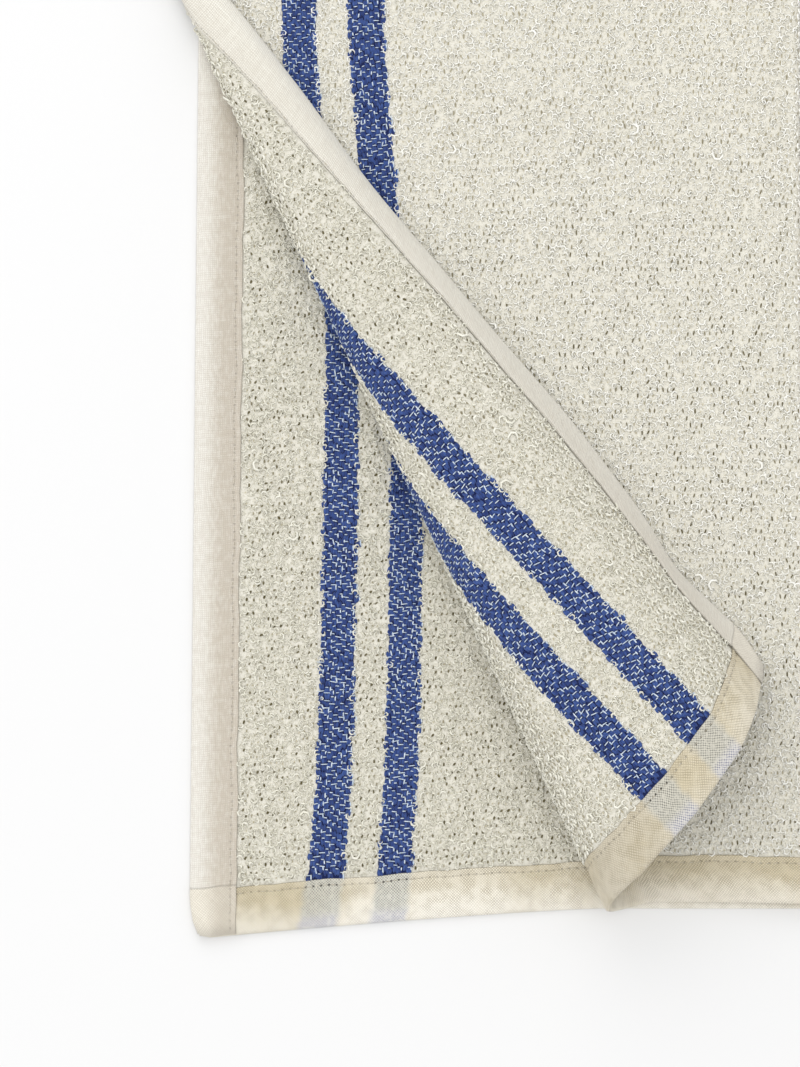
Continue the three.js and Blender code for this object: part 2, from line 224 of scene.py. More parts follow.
def roll(along, up, end, distance):
    """Rolls each ruling's frame about the apex, from where the curl starts to an angle past it."""
    step = end / ROLL_STEPS
    for i in range(ROLL_STEPS):
        bend = np.minimum(curl_value((i + 0.5) * step, "bend"), distance / TIGHTEST)
        axis = -(up + bend[:, None] * along)
        size = np.linalg.norm(axis, axis=1)
        axis = axis / size[:, None]
        along, up = rotated(along, axis, size * step), rotated(up, axis, size * step)
    return along, up


def loose_curl(w, v):
    """The curl before its edge is let down onto the cloth, and the angle past its start."""
    flat, turn, distance = polar(w, v)
    place = flat.copy()
    curled = np.nonzero(turn > 0.0)[0]
    if len(curled):
        turning, far = turn[curled], distance[curled]
        along = np.tile([math.sin(CURL_START), -math.cos(CURL_START), 0.0], (len(curled), 1))
        up = np.tile([0.0, 0.0, 1.0], (len(curled), 1))
        along, up = roll(along, up, turning, far)
        place[curled] = APEX + along * (far * curl_value(turning, "reach"))[:, None]
    return place, np.maximum(turn, 0.0)


def upper_layer(w, v):
    place, turn = loose_curl(w, v)
    edge, _ = loose_curl(np.zeros_like(v), v)
    spare = np.maximum(0.0, edge[:, 2] - UPPER_Z - EDGE_REST)
    inset = np.maximum(w, 0.0)
    settled = (1.0 - smooth(v, *SETTLE["v"])) * (turn > 0.0)
    place[:, 2] -= spare * settled * np.exp(-((inset / SETTLE["reach"]) ** 2))
    for waver in WAVERS:
        away = ((v - waver["at"]) / waver["over"]) ** 2 + inset / WAVER_REACH
        place += (waver["inwards"] * np.exp(-away) * (turn > 0.0))[:, None] * WAVER_WAY
    return place


print("the turned corner lies at", upper_layer(np.zeros(1), np.zeros(1))[0].round(1))


# %% The whole cloth, and its normal
def smooth_place(u, v):
    u, v = (np.asarray(x, dtype=float) for x in np.broadcast_arrays(u, v))
    place = np.empty((len(u), 3))
    lower = u < fold_at(v) - FOLD_REACH
    upper = u > fold_at(v) + FOLD_REACH
    for where, how, across in [
        (lower, lower_layer, u),
        (upper, upper_layer, CLOTH - u),
        (~(lower | upper), fold_place, u),
    ]:
        if where.any():
            place[where] = how(across[where], v[where])
    return place


def normal_at(u, v):
    """Unit normal: up on the lower layer, down on the upper one, always out of the inner face."""
    along_u = smooth_place(u + NORMAL_STEP, v) - smooth_place(u - NORMAL_STEP, v)
    along_v = smooth_place(u, v + NORMAL_STEP) - smooth_place(u, v - NORMAL_STEP)
    normal = np.cross(along_u, along_v)
    return normal / np.linalg.norm(normal, axis=1, keepdims=True)


def tape_lift(u, v):
    """How far the cloth's middle is raised where it lies on its tapes."""
    side, hem = np.minimum(u, CLOTH - u), np.minimum(v, CLOTH - v)
    held = np.maximum(1.0 - smooth(side, *SWELL), 1.0 - smooth(hem, *SWELL))
    corner = (1.0 - smooth(side, *STEP_DOWN)) * (1.0 - smooth(hem, *STEP_DOWN))
    return held * (TAPE_OUTER - TERRY / 2) + corner * CORNER_RISE


def softened(u, v):
    """The cloth's corners are a little rounded, and its side edges run in towards them."""
    side, hem = np.minimum(u, CLOTH - u), np.minimum(v, CLOTH - v)
    x, y = CORNER["radius"] - side, CORNER["radius"] - hem
    size = np.hypot(x, y)
    shrink = np.where((x > 0.0) & (y > 0.0), np.maximum(x, y) / np.maximum(size, 1e-6), 1.0)
    side = CORNER["radius"] - x * shrink
    hem = CORNER["radius"] - y * shrink
    taper = np.clip(1.0 - side / TAPE_WIDTH, 0.0, 1.0) * (1.0 - smooth(hem, 0.0, CORNER["over"]))
    side = side + CORNER["taper"] * taper
    return np.where(u > CLOTH / 2, CLOTH - side, side), np.where(v > CLOTH / 2, CLOTH - hem, hem)


def resting(u, v):
    """1 where the cloth lies on what is below it, and 0 in the curl."""
    share = np.ones(len(u))
    upper = u > fold_at(v) + FOLD_REACH
    turn = np.maximum(0.0, polar(CLOTH - u[upper], v[upper])[1])
    share[upper] = 1.0 - smooth(turn, 0.0, LIFT_OFF)
    return share


def on_cloth(u, v, height):
    """Points at a height off the cloth's middle surface, positive on the inner face."""
    u, v, height = (np.asarray(x, dtype=float).ravel() for x in np.broadcast_arrays(u, v, height))
    u, v = softened(u, v)
    place = smooth_place(u, v)
    place[:, 2] += tape_lift(u, v) * resting(u, v)
    place += normal_at(u, v) * height[:, None]
    place[:, 2] = np.maximum(place[:, 2], 0.0)  # pressed flat on the table
    return place


def metres(place):
    return (place - CENTRE) * MM


print("the near right corner lies at", metres(on_cloth([fold_at(0.0)], [0.0], [0.0]))[0].round(4))

# %% [markdown]
# ## The stripes' own coordinate
#
# The stripes were woven straight, but the cloth has been washed and its hems are gathered a little, so
# they drift by a few millimetres. The pattern could be bent in the material, with more nodes for each
# drift. Instead each point gets a texture coordinate that already follows the drift: in it, the stripes
# lie at fixed places.

# %% Stripe positions, from the side edge
STRIPES = [34.0, 44.0, 52.0, 62.0]  # in the texture coordinate: where each starts and ends
HEM_GATHER = {"reach": 28.0, "by": [6.4, 5.0, 4.9, 4.2]}
LOWER_STRIPES = [34.9, 44.5, 53.3, 62.5]
FLAP_STRIPES = [31.7, 41.4, 50.0, 59.8]
FLAP_DRIFT = {"by": 1.73, "over": 109.0}
UPPER_STRIPES = [36.8, 46.0, 54.8, 64.4]
FLAP_STARTS = (-0.02, 0.10)  # angles past the curl's start between which the flap's places take over
ROUNDS = 4  # the inset depends a little on itself, and settles within this many rounds


def stripe_edges(inset, v, upper):
    """Insets of the four stripe edges at each point, which on the upper layer change with the curl."""
    edges = np.empty((4, len(inset)))
    flat = np.zeros(len(inset))
    if upper.any():
        flat[upper] = 1.0 - smooth(polar(inset[upper], v[upper])[1], *FLAP_STARTS)
    for k in range(4):
        lower_edge = LOWER_STRIPES[k] - HEM_GATHER["by"][k] * np.exp(-v / HEM_GATHER["reach"])
        flap_edge = FLAP_STRIPES[k] + FLAP_DRIFT["by"] * np.minimum(v / FLAP_DRIFT["over"], 1.0)
        upper_edge = flap_edge + (UPPER_STRIPES[k] - flap_edge) * flat
        edges[k] = np.where(upper, upper_edge, lower_edge)
    return edges


def moved_between(value, knots, marks):
    """Moves each value from its place among the knots to the same place among the marks."""
    moved = np.array(value, dtype=float)
    for k in range(len(knots) - 1):
        share = (value - knots[k]) / (knots[k + 1] - knots[k])
        here = (share >= 0.0) & (share <= 1.0)
        moved = np.where(here, marks[k] + share * (marks[k + 1] - marks[k]), moved)
    return moved


STRIPE_MARKS = [0.0, *STRIPES, CLOTH / 2]


def stripe_knots(inset, v, upper):
    return [0.0, *stripe_edges(inset, v, upper), CLOTH / 2]


def stripe_coordinate(u, v):
    """Distance from the nearest side edge, with the drift of the stripes taken out."""
    u, v = (np.asarray(x, dtype=float).ravel() for x in np.broadcast_arrays(u, v))
    upper = u > CLOTH / 2
    inset = np.where(upper, CLOTH - u, u)
    return moved_between(inset, stripe_knots(inset, v, upper), STRIPE_MARKS)


def stripe_inset(coordinate, v, upper):
    """The other way: the inset from the side edge of a place given by its stripe coordinate."""
    inset = coordinate
    for _ in range(ROUNDS):
        inset = moved_between(coordinate, STRIPE_MARKS, stripe_knots(inset, v, upper))
    return inset


print("the first stripe on the lower layer starts at", stripe_coordinate([34.3], [200.0]))

# %% [markdown]
# ## Writing a material
#
# A material is a small formula: this much of the light thread here, this much dark gap there. Nodes could
# be made and linked one by one, which hides the formula. So that it reads as one, a class wraps a socket
# of the node tree and turns Python's operators into Math nodes.

# %% A socket that can be added and multiplied
class Value:
    """A socket of a material's node tree, on which each operator makes a Math node."""

    def __init__(self, tree, socket):
        self.tree, self.socket = tree, socket

    def node(self, kind, settings=None, output=0, **inputs):
        """Any node: its type, its settings, and the values or links of its inputs, which are given by
        name, or by number as i0, i1 and so on."""
        made = self.tree.nodes.new(kind)
        for name, value in (settings or {}).items():
            setattr(made, name, value)
        for name, value in inputs.items():
            socket = made.inputs[int(name[1:]) if name[1:].isdigit() else name]
            if isinstance(value, Value):
                self.tree.links.new(value.socket, socket)
            else:
                socket.default_value = value
        return Value(self.tree, made.outputs[output])

    def math(self, operation, other=0.0):
        return self.node("ShaderNodeMath", {"operation": operation}, i0=self, i1=other)

    def __add__(self, other):
        return self.math("ADD", other)

    __radd__ = __add__

    def __sub__(self, other):
        return self.math("SUBTRACT", other)

    def __rsub__(self, other):
        return self.node("ShaderNodeMath", {"operation": "SUBTRACT"}, i0=other, i1=self)

    def __mul__(self, other):
        return self.math("MULTIPLY", other)

    __rmul__ = __mul__

    def __truediv__(self, other):
        return self.math("DIVIDE", other)

    def fraction(self):
        return self.math("FRACT")

    def away(self):
        return self.math("ABSOLUTE")

    def sine(self):
        return self.math("SINE")

    def ramp(self, low, high):
        """0 below low and 1 above high, with a soft step between. low may be the larger one."""
        settings = {"interpolation_type": "SMOOTHSTEP"}
        if low < high:
            return self.node("ShaderNodeMapRange", settings, i0=self, i1=low, i2=high, i3=0.0, i4=1.0)
        return self.node("ShaderNodeMapRange", settings, i0=self, i1=high, i2=low, i3=1.0, i4=0.0)

    def band(self, centre, half, soft):
        """1 within half of centre, fading to 0 over soft."""
        return (self - centre).away().ramp(half + soft, half)

    def mix(self, first, second):
        """A colour between two, self saying how much of the second."""
        first, second = (c if isinstance(c, Value) else (*c, 1.0) for c in (first, second))
        return self.node("ShaderNodeMix", {"data_type": "RGBA"}, output=2, i0=self, i6=first, i7=second)

    def noise(self, scale, detail):
        return self.node("ShaderNodeTexNoise", Vector=self, Scale=scale, Detail=detail)

    def stretched(self, x, y):
        settings = {"operation": "MULTIPLY"}
        return self.node("ShaderNodeVectorMath", settings, i0=self, i1=(x, y, 1.0))

    def part(self, axis):
        return self.node("ShaderNodeSeparateXYZ", output="XYZ".index(axis), Vector=self)


def vector(x, y):
    """A coordinate made of two numbers."""
    return x.node("ShaderNodeCombineXYZ", X=x, Y=y)


# %% Starting and finishing a material
DULL = 0.2  # how much a thread's surface mirrors, where a smooth plastic has 0.5


def material(name, roughness, sheen=0.0):
    """A new material and its shader."""
    made = bpy.data.materials.new(name)
    made.use_nodes = True
    shader = made.node_tree.nodes["Principled BSDF"]
    shader.inputs["Roughness"].default_value = roughness
    shader.inputs["Sheen Weight"].default_value = sheen
    shader.inputs["Specular IOR Level"].default_value = DULL
    return made, shader


def uv_of(made, name):
    """One of the mesh's texture coordinates, as a Value of a material."""
    node = made.node_tree.nodes.new("ShaderNodeUVMap")
    node.uv_map = name
    return Value(made.node_tree, node.outputs[0])


def finish_material(made, shader, colour, height=None, distance=0.0):
    """Gives a material its colour and, where a height is given, a bump of that distance in metres."""
    tree = made.node_tree
    tree.links.new(colour.socket, shader.inputs["Base Color"])
    if height is not None:
        bump = height.node("ShaderNodeBump", Strength=1.0, Distance=distance, Height=height)
        tree.links.new(bump.socket, shader.inputs["Normal"])


def srgb(red, green, blue):
    """A colour as a screen shows it, 0 to 255, as the linear light that Blender works in."""
    return tuple(c / 12.92 if c <= 0.04045 else ((c + 0.055) / 1.055) ** 2.4
                 for c in (red / 255, green / 255, blue / 255))


print("a middle grey of 128 on the screen is", round(srgb(128, 128, 128)[0], 3), "of the light")

# %% [markdown]
# ## The terry ground
#
# Under its loops, terry is a plain woven ground. It shows between them as soft shade, so its material is
# a quiet mottled cream, from noise alone: threads would be lost under the pile. Under the stripes' blue
# yarn it is dyed dark, with a ragged edge.

# %% Material of the ground
CREAM = srgb(227, 224, 213)
CREAM_DEEP = srgb(212, 208, 194)
NAVY = srgb(30, 42, 88)
TILE = 1000.0  # the texture coordinate is the cloth's millimetres over this
DYED = {"half": 4.4, "soft": 0.3, "ragged": 1.2}  # a stripe's dark ground, from the stripe's middle
GROUND_BUMP = 0.0003


def both_stripes(across, half, soft):
    """1 within half of the middle of either stripe, fading to 0 over soft."""
    first, second = (across.band((start + end) / 2, half, soft) for start, end in (STRIPES[:2], STRIPES[2:]))
    return first.math("MAXIMUM", second)


def ground_material():
    made, shader = material("terry_ground", roughness=0.95, sheen=0.1)
    uv = uv_of(made, "cloth").stretched(TILE, TILE)
    fuzz = uv.noise(1.8, 3.0)
    cream = fuzz.ramp(0.3, 0.6).mix(CREAM_DEEP, CREAM)
    across = uv.part("X") + (uv.noise(0.55, 1.0) - 0.5) * DYED["ragged"]
    stripe = both_stripes(across, DYED["half"], DYED["soft"])
    finish_material(made, shader, stripe.mix(cream, NAVY), fuzz, GROUND_BUMP)
    return made


terry_ground = ground_material()
print("made", terry_ground.name)

# %% [markdown]
# ## The terry panel
#
# The panel is one closed shell: an inner and an outer face with a rim between them. One face with a
# Solidify modifier would be simpler, but its thickness has to change under the tapes. So both faces start
# as a flat grid, made by one operator each, and are bridged along their edges. Then every vertex is moved
# to its place on the folded cloth. Rows and columns are closer together where the cloth bends sharply.

# %% Rows and columns of the panel
GROUND_HALF = 0.45  # half the thickness of the woven ground, without its loops
MARGIN = [0.0, 4.0, 8.0, 11.0, 12.3, 13.3, 14.3]  # insets of the first rows and columns from any edge
ROW_ZONES = [(16.0, 205.0, 3.8), (205.0, 265.0, 1.5), (265.0, 320.0, 3.8)]  # from, to, and how far apart
COLUMN_COUNTS = {"lower": 40, "fold": 10, "upper": 20, "curl": 48}
CROWDING = 1.2  # over 1, the curl's columns are closer together where it starts
CURL_CLEAR = 4.0
HALVINGS = 30


def panel_rows():
    middle = [ROW_ZONES[0][0]]
    for start, end, step in ROW_ZONES:
        count = round((end - start) / step)
        middle += [start + (end - start) * i / count for i in range(1, count + 1)]
    return np.array([*MARGIN, *middle, *[CLOTH - m for m in reversed(MARGIN)]])


def curl_inset(v):
    """Inset from the side edge at which each row starts to curl, by bisection."""
    curled, lying = np.zeros(len(v)), np.full(len(v), CLOTH / 2)
    for _ in range(HALVINGS):
        middle = (curled + lying) / 2
        past = polar(middle, v)[1] > 0.0
        curled, lying = np.where(past, middle, curled), np.where(past, lying, middle)
    return curled


def panel_columns(v):
    """The u of each column, one row of the answer for each v."""
    start, end = fold_at(v) - FOLD_REACH, fold_at(v) + FOLD_REACH
    curl = CLOTH - np.maximum(curl_inset(v), MARGIN[-1] + CURL_CLEAR)
    columns = [np.full(len(v), m) for m in MARGIN]
    for low, high, zone in [
        (MARGIN[-1], start, "lower"),
        (start, end, "fold"),
        (end, curl, "upper"),
        (curl, CLOTH - MARGIN[-1], "curl"),
    ]:
        count, power = COLUMN_COUNTS[zone], CROWDING if zone == "curl" else 1.0
        columns += [low + (high - low) * (k / count) ** power for k in range(1, count + 1)]
    columns += [np.full(len(v), CLOTH - m) for m in reversed(MARGIN[:-1])]
    return np.stack(columns, axis=1)


ROWS = panel_rows()
COLUMNS = panel_columns(ROWS)
print("panel grid:", COLUMNS.shape[1], "columns by", len(ROWS), "rows")


# %% From a flat grid to a folded shell
FACES_APART = 0.001


def new_object(name, mesh, finish):
    made = bpy.data.objects.new(name, mesh)
    bpy.context.scene.collection.objects.link(made)
    mesh.materials.append(finish)
    return made


def grid_shell(name, across, along, place, texture, finish):
    """A closed shell of across by along vertices a face. place(i, j, side) gives its vertices' places,
    side being 1 on the inner face and -1 on the outer, and texture(i, j) their texture coordinates."""
    mesh = bpy.data.meshes.new(name)
    bm = bmesh.new()
    for side in (1, -1):
        matrix = Matrix.Translation((0, 0, FACES_APART * side))
        bmesh.ops.create_grid(bm, x_segments=across - 1, y_segments=along - 1, size=1.0, matrix=matrix)
    rim = [edge for edge in bm.edges if edge.is_boundary]
    bmesh.ops.bridge_loops(bm, edges=rim)
    flat = np.array([vertex.co[:] for vertex in bm.verts])
    i = np.rint((flat[:, 0] + 1) / 2 * (across - 1)).astype(int)
    j = np.rint((flat[:, 1] + 1) / 2 * (along - 1)).astype(int)
    side = np.sign(flat[:, 2])
    bm.verts.index_update()
    for vertex, co in zip(bm.verts, metres(place(i, j, side))):
        vertex.co = co
    bmesh.ops.recalc_face_normals(bm, faces=bm.faces)
    layer = bm.loops.layers.uv.new("cloth")
    coordinates = texture(i, j)
    for face in bm.faces:
        face.smooth = True
        for corner in face.loops:
            corner[layer].uv = coordinates[corner.vert.index]
    bm.to_mesh(mesh)
    bm.free()
    return new_object(name, mesh, finish)


def panel_place(i, j, side):
    u, v = COLUMNS[j, i], ROWS[j]
    inset = np.minimum(np.minimum(u, CLOTH - u), np.minimum(v, CLOTH - v))
    half = PRESSED / 2 + (GROUND_HALF - PRESSED / 2) * smooth(inset, *SWELL)
    return on_cloth(u, v, side * half)


def panel_texture(i, j):
    u, v = COLUMNS[j, i], ROWS[j]
    return join(stripe_coordinate(u, v), v) / TILE


grid = (COLUMNS.shape[1], len(ROWS))
terry_cloth = grid_shell("terry_cloth", *grid, panel_place, panel_texture, terry_ground)
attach(terry_cloth, "root")
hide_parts("terry_panel")
print("terry cloth:", len(terry_cloth.data.polygons), "faces")

# %% [markdown]
# ## The loops
#
# Terry is thousands of small loops of yarn, and after a few washes they lean every way. A hair system
# could grow them, but hairs have open ends and don't export as a mesh. Here one loop is a three-sided
# thread, spun round most of a turn and pointed at both ends, with two dozen faces in all. It is copied to
# each place of the weave's grid, a little off it, at a seeded random lean, turn and size. Loops stand only
# where they can be seen: not inside the fold, not under the layer above, and not on the table.

# %% One arc of yarn
def shape_of(bm):
    """The points and triangles of a small closed shape, which is used up."""
    bmesh.ops.recalc_face_normals(bm, faces=bm.faces)
    bmesh.ops.triangulate(bm, faces=bm.faces)
    bm.verts.index_update()
    points = np.array([vertex.co[:] for vertex in bm.verts])
    triangles = np.array([[vertex.index for vertex in face.verts] for face in bm.faces])
    bm.free()
    return points, triangles


def arc_of_yarn(radius, yarn, degrees, steps):
    """A three-sided yarn round part of a circle about Z, pointed at both ends."""
    bm = bmesh.new()
    start = Matrix.Rotation(math.radians(-degrees / 2), 4, "Z")
    upright = Matrix.Translation((radius, 0.0, 0.0)) @ Matrix.Rotation(math.pi / 2, 4, "X")
    bmesh.ops.create_circle(bm, segments=3, radius=yarn / 2, matrix=start @ upright)
    first = bm.verts[:]
    whole = first + bm.edges[:]
    made = bmesh.ops.spin(bm, geom=whole, axis=(0, 0, 1), angle=math.radians(degrees), steps=steps)
    last = [item for item in made["geom_last"] if isinstance(item, bmesh.types.BMVert)]
    for ring in (first, last):
        middle = sum((vertex.co for vertex in ring), Vector()) / len(ring)
        bmesh.ops.pointmerge(bm, verts=ring, merge_co=middle)
    return shape_of(bm)


LOOP = {"radius": 0.84, "yarn": 0.58, "degrees": 285.0, "steps": 5}
LOOP_SHAPE = arc_of_yarn(**LOOP)
print("one loop has", len(LOOP_SHAPE[1]), "faces")


# %% Copying a shape over the cloth
ALONG_STEP = 0.3
rng = np.random.default_rng(11)


def cloth_frame(u, v, side):
    """Across, along and up at each place, up being out of the face on that side."""
    up = normal_at(u, v) * side
    along = smooth_place(u, v + ALONG_STEP) - smooth_place(u, v - ALONG_STEP)
    along -= up * np.sum(along * up, axis=1, keepdims=True)
    along /= np.linalg.norm(along, axis=1, keepdims=True)
    return np.cross(along, up), along, up


def copies(name, shape, places, axes, finish, tone=None):
    """One mesh of a shape's copies. axes are each copy's X, Y and Z, with its size in their lengths.
    A copy's texture coordinate is its own X and Y, moved far along by its tone, from 0 to 1."""
    points, triangles = shape
    count = len(places)
    moved = places[:, None, :] + np.einsum("pk,nkc->npc", points, np.stack(axes, axis=1))
    corners = (triangles[None] + len(points) * np.arange(count)[:, None, None]).ravel()
    mesh = bpy.data.meshes.new(name)
    mesh.vertices.add(count * len(points))
    mesh.vertices.foreach_set("co", metres(moved).ravel())
    mesh.loops.add(len(corners))
    mesh.loops.foreach_set("vertex_index", corners)
    mesh.polygons.add(count * len(triangles))
    mesh.polygons.foreach_set("loop_start", np.arange(0, len(corners), 3))
    mesh.update()
    tone = rng.uniform(0.0, 1.0, count) if tone is None else tone
    offset = join(tone, rng.uniform(0.0, 1.0, count))[:, None, :] * TILE
    own = points[None, :, :2] + offset
    layer = mesh.uv_layers.new(name="yarn")
    layer.data.foreach_set("uv", own.reshape(-1, 2)[corners].ravel())
    mesh.shade_smooth()
    made = new_object(name, mesh, finish)
    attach(made, "root")
    print(name, "has", count, "copies and", len(mesh.polygons), "faces")
    return made


# %% Where loops can be seen
TUCKED_AT = 11.3  # inset of the upper side tape's inner edge, with room for a loop
UNDER_CURL = math.radians(1.0)  # how far past the curl's start the lower layer still shows
FLAP_MARGIN = 5.0  # the cloth shows this far in under the flap's outline
FLAP_TO = 250.0  # the flap reaches this far along the side edge
FLAP_POINTS = {"side": 50, "hem": 30}
MOUTH_TO = 60.0  # one sees this far up into the roll
OFF_TABLE = 0.4  # the fold shows from this height over the lower layer's middle
print("loops stand at least", TUCKED_AT, "mm in from the edge of the turned flap")


def inside(x, y, outline):
    """Whether each point lies in a closed outline, by counting the sides to its right."""
    found = np.zeros(len(x), dtype=bool)
    for (x0, y0), (x1, y1) in zip(outline, np.roll(outline, -1, axis=0)):
        spans = (y0 > y) != (y1 > y)
        crossing = x0 + (y - y0) / (y1 - y0 if y1 != y0 else 1.0) * (x1 - x0)
        found ^= spans & (x < crossing)
    return found


def flap_outline():
    """The turned-back flap's outline on the plan: along its side edge, its hem and the curl's start."""
    v = np.linspace(FLAP_TO, 0.0, FLAP_POINTS["side"])
    u = np.linspace(CLOTH, CLOTH - curl_inset(np.zeros(1))[0], FLAP_POINTS["hem"])
    side = on_cloth(np.full(len(v), CLOTH), v, 0.0)
    hem = on_cloth(u, np.zeros(len(u)), 0.0)
    return np.concatenate([side, hem])[:, :2]


def covered(x, y):
    """Whether each place on the plan lies under the flap, and well in from its outline."""
    outline = flap_outline()
    hidden = np.ones(len(x), dtype=bool)
    for dx, dy in [(1, 0), (-1, 0), (0, 1), (0, -1)]:
        hidden &= inside(x + dx * FLAP_MARGIN, y + dy * FLAP_MARGIN, outline)
    return hidden


def in_stripe(u, v, edge):
    """Whether a place lies in a stripe, at least edge inside it."""
    coordinate = stripe_coordinate(u, v)
    first = (coordinate > STRIPES[0] + edge) & (coordinate < STRIPES[1] - edge)
    return first | ((coordinate > STRIPES[2] + edge) & (coordinate < STRIPES[3] - edge))


# %% Which face shows
def seen(u, v):
    """For each place, whether its inner face and its outer face can be seen."""
    lower = u < fold_at(v) - FOLD_REACH
    upper = u > fold_at(v) + FOLD_REACH
    turn = np.full(len(u), -1.0)
    turn[upper] = polar(CLOTH - u[upper], v[upper])[1]
    place = smooth_place(u, v)
    arm = place[:, :2] - APEX[:2]
    angle = np.arctan2(arm[:, 0], -arm[:, 1])
    inner = lower & (angle < CURL_START + UNDER_CURL)
    inner |= upper & (turn > 0.0)
    mouth = upper & (turn > 0.0) & (v < MOUTH_TO)
    off_table = place[:, 2] > LOWER_Z + OFF_TABLE
    outer = (~lower & off_table & (turn <= 0.0) & ~covered(place[:, 0], place[:, 1])) | mouth
    return inner, outer


shares = [round(float(face.mean()), 2) for face in seen(COLUMNS.ravel(), np.repeat(ROWS, grid[0]))]
print("shares of the panel's vertices that show on its inner and its outer face:", shares)

# %% [markdown]
# ## Holes in the pile
#
# Between its loops, terry shows small dark holes in staggered rows, the openings of its ground in shade. A
# dark pattern in the ground's material would be hidden by the loops. So each hole is a small flat patch of
# painted shade just over the ground, darker the deeper it is, and the loops around it are moved aside.

# %% Sizes of the holes
PIT_PITCH = (1.53, 1.94)
PIT_FIRST, PIT_LAST = 13.5, CLOTH - 13.0
PIT_JITTER = (0.16, 0.20)
PIT_SHARE = 0.8  # how much of the rows' places have a hole
PIT_GAP = 0.5  # power that deepens the holes between the two stripes of the lower layer
PIT_SIZE = {"long": 0.6, "wide": 0.34, "uneven": (0.6, 1.2), "over": 0.20}
PIT_OFF_STRIPE = 0.5
PIT_LOOKS = {  # on the inner face, and on the outer, whose pile is combed along v so that holes are slits
    1.0: {"lean": 0.25, "stray": 0.35, "long": 0.55, "wide": 0.32, "power": 1.0},
    -1.0: {"lean": 0.12, "stray": 0.22, "long": 0.95, "wide": 0.14, "power": 1.15},
}
# the two tones of the holes' painted shade, for shallow and for deep holes
PIT_SHADE_LIGHT = srgb(196, 188, 164)
PIT_SHADE_DARK = srgb(86, 78, 50)
PIT_FADE = {  # where along v the pile closes over the holes and their painted shade fades, and by how much
    "outer": {"v": (140.0, 270.0), "by": 0.6},
    "curl near": {"v": (146.0, 76.0), "by": 0.6},
    "curl far": {"v": (215.0, 245.0), "by": 0.6},
}
print("rows of holes are", PIT_PITCH[1], "mm apart")


# %% Making the holes
def pit_shape():
    """A flat six-sided patch, 1 mm across."""
    bm = bmesh.new()
    bmesh.ops.create_circle(bm, cap_ends=True, segments=6, radius=0.5)
    return shape_of(bm)


def pit_material():
    """Dull shade, whose depth comes from each hole's tone."""
    made, shader = material("terry_pit_shade", roughness=1.0)
    tone = uv_of(made, "yarn").part("X") / TILE
    finish_material(made, shader, tone.mix(PIT_SHADE_LIGHT, PIT_SHADE_DARK))
    return made


def pit_grid():
    """Places of the holes, in staggered rows, and how deep each is, from 0 to 1."""
    u, v = np.meshgrid(*[np.arange(PIT_FIRST, PIT_LAST, pitch) for pitch in PIT_PITCH])
    u = u + (np.arange(len(u)) % 2)[:, None] * PIT_PITCH[0] / 2
    u = u.ravel() + rng.normal(0.0, PIT_JITTER[0], u.size)
    v = v.ravel() + rng.normal(0.0, PIT_JITTER[1], v.size)
    depth = rng.uniform(0.0, 1.0, u.size)
    kept = (depth > 1.0 - PIT_SHARE) & ~in_stripe(u, v, -PIT_OFF_STRIPE)
    u, v, depth = u[kept], v[kept], (depth[kept] - 1.0 + PIT_SHARE) / PIT_SHARE
    coordinate = stripe_coordinate(u, v)
    open_pile = (coordinate > STRIPES[1]) & (coordinate < STRIPES[2]) & (u < CLOTH / 2)
    return u, v, np.where(open_pile, depth ** PIT_GAP, depth)


def dig_pits(name, u, v, side, depth):
    """Holes on one face of the cloth, patches of painted shade, the larger and darker the deeper they are."""
    across, along, up = cloth_frame(u, v, side)
    look = PIT_LOOKS[side]
    lean = rng.normal(look["lean"], look["stray"], len(u))[:, None]
    long = along * np.cos(lean) + across * np.sin(lean)
    length = (PIT_SIZE["long"] + look["long"] * depth)[:, None]
    uneven = rng.uniform(*PIT_SIZE["uneven"], len(u))
    wide = np.cross(long, up) * (PIT_SIZE["wide"] + look["wide"] * depth * uneven)[:, None]
    places = on_cloth(u, v, side * (GROUND_HALF + PIT_SIZE["over"]))
    closed = {where: fade["by"] * smooth(v, *fade["v"]) for where, fade in PIT_FADE.items()}
    on_curl = np.maximum(closed["curl near"], closed["curl far"]) * (u > CLOTH / 2)
    shade = depth ** look["power"] * (1.0 - (on_curl if side > 0 else closed["outer"]))
    return copies(name, pit_shape(), places, (wide, long * length, up), terry_pit_shade, tone=shade)


terry_pit_shade = pit_material()
pit_u, pit_v, pit_depth = pit_grid()
print("the whole cloth has", len(pit_u), "holes a face")

# %% [markdown]
# ## Growing the pile
#
# The pile's two faces differ: on the outer one the loops are paler and lie flatter, the more so towards
# the far end, while on the curl a few are pulled long. The inner face's darker loops are partly painted
# shade, for the lower layer and the curl's inside. The holes' places come first, because the loops are
# moved aside for them. Loops that would stand in a stripe are left out.

# %% Sizes and material of the loops
LOOP_PITCH = (1.36, 1.60)
LOOP_GRID = {"first": 13.0, "last": (CLOTH - 11.0, CLOTH - 12.9), "jitter": 0.36}
TAPE_CLEAR = 0.6
LOOP_LOOKS = {"flattest": 8.0, "size": (0.72, 1.12), "pulled": 1.75, "narrow": (0.6, 1.0)}
STRAYS = {"lower": 0.001, "curl": 0.012, "upper": 0.001}  # share of the loops
STEEPEST = {"inner": 36.0, "near": 29.0, "middle": 24.0, "far": 20.0}  # lean off the ground in degrees
STRIPE_RAGGED = 0.8
ROOTED = {"share": 0.75, "rise": 0.06}  # how much of a leaning loop stands over the ground
LOOP_TONES = {  # the outer face is the paler one; the inner face's darker tone is partly painted shade
    "inner": (srgb(226, 223, 207), srgb(245, 243, 232)),
    "outer": (srgb(241, 239, 229), srgb(253, 252, 247)),
}
LOOP_MOTTLE = 0.3  # how much of a loop's tone changes along it
UPPER_PARTS = [("near", 0.0, 115.0), ("middle", 115.0, 225.0), ("far", 225.0, CLOTH)]  # from and to, in v
PIT_CLEAR = 1.25  # radius that the deepest hole keeps clear


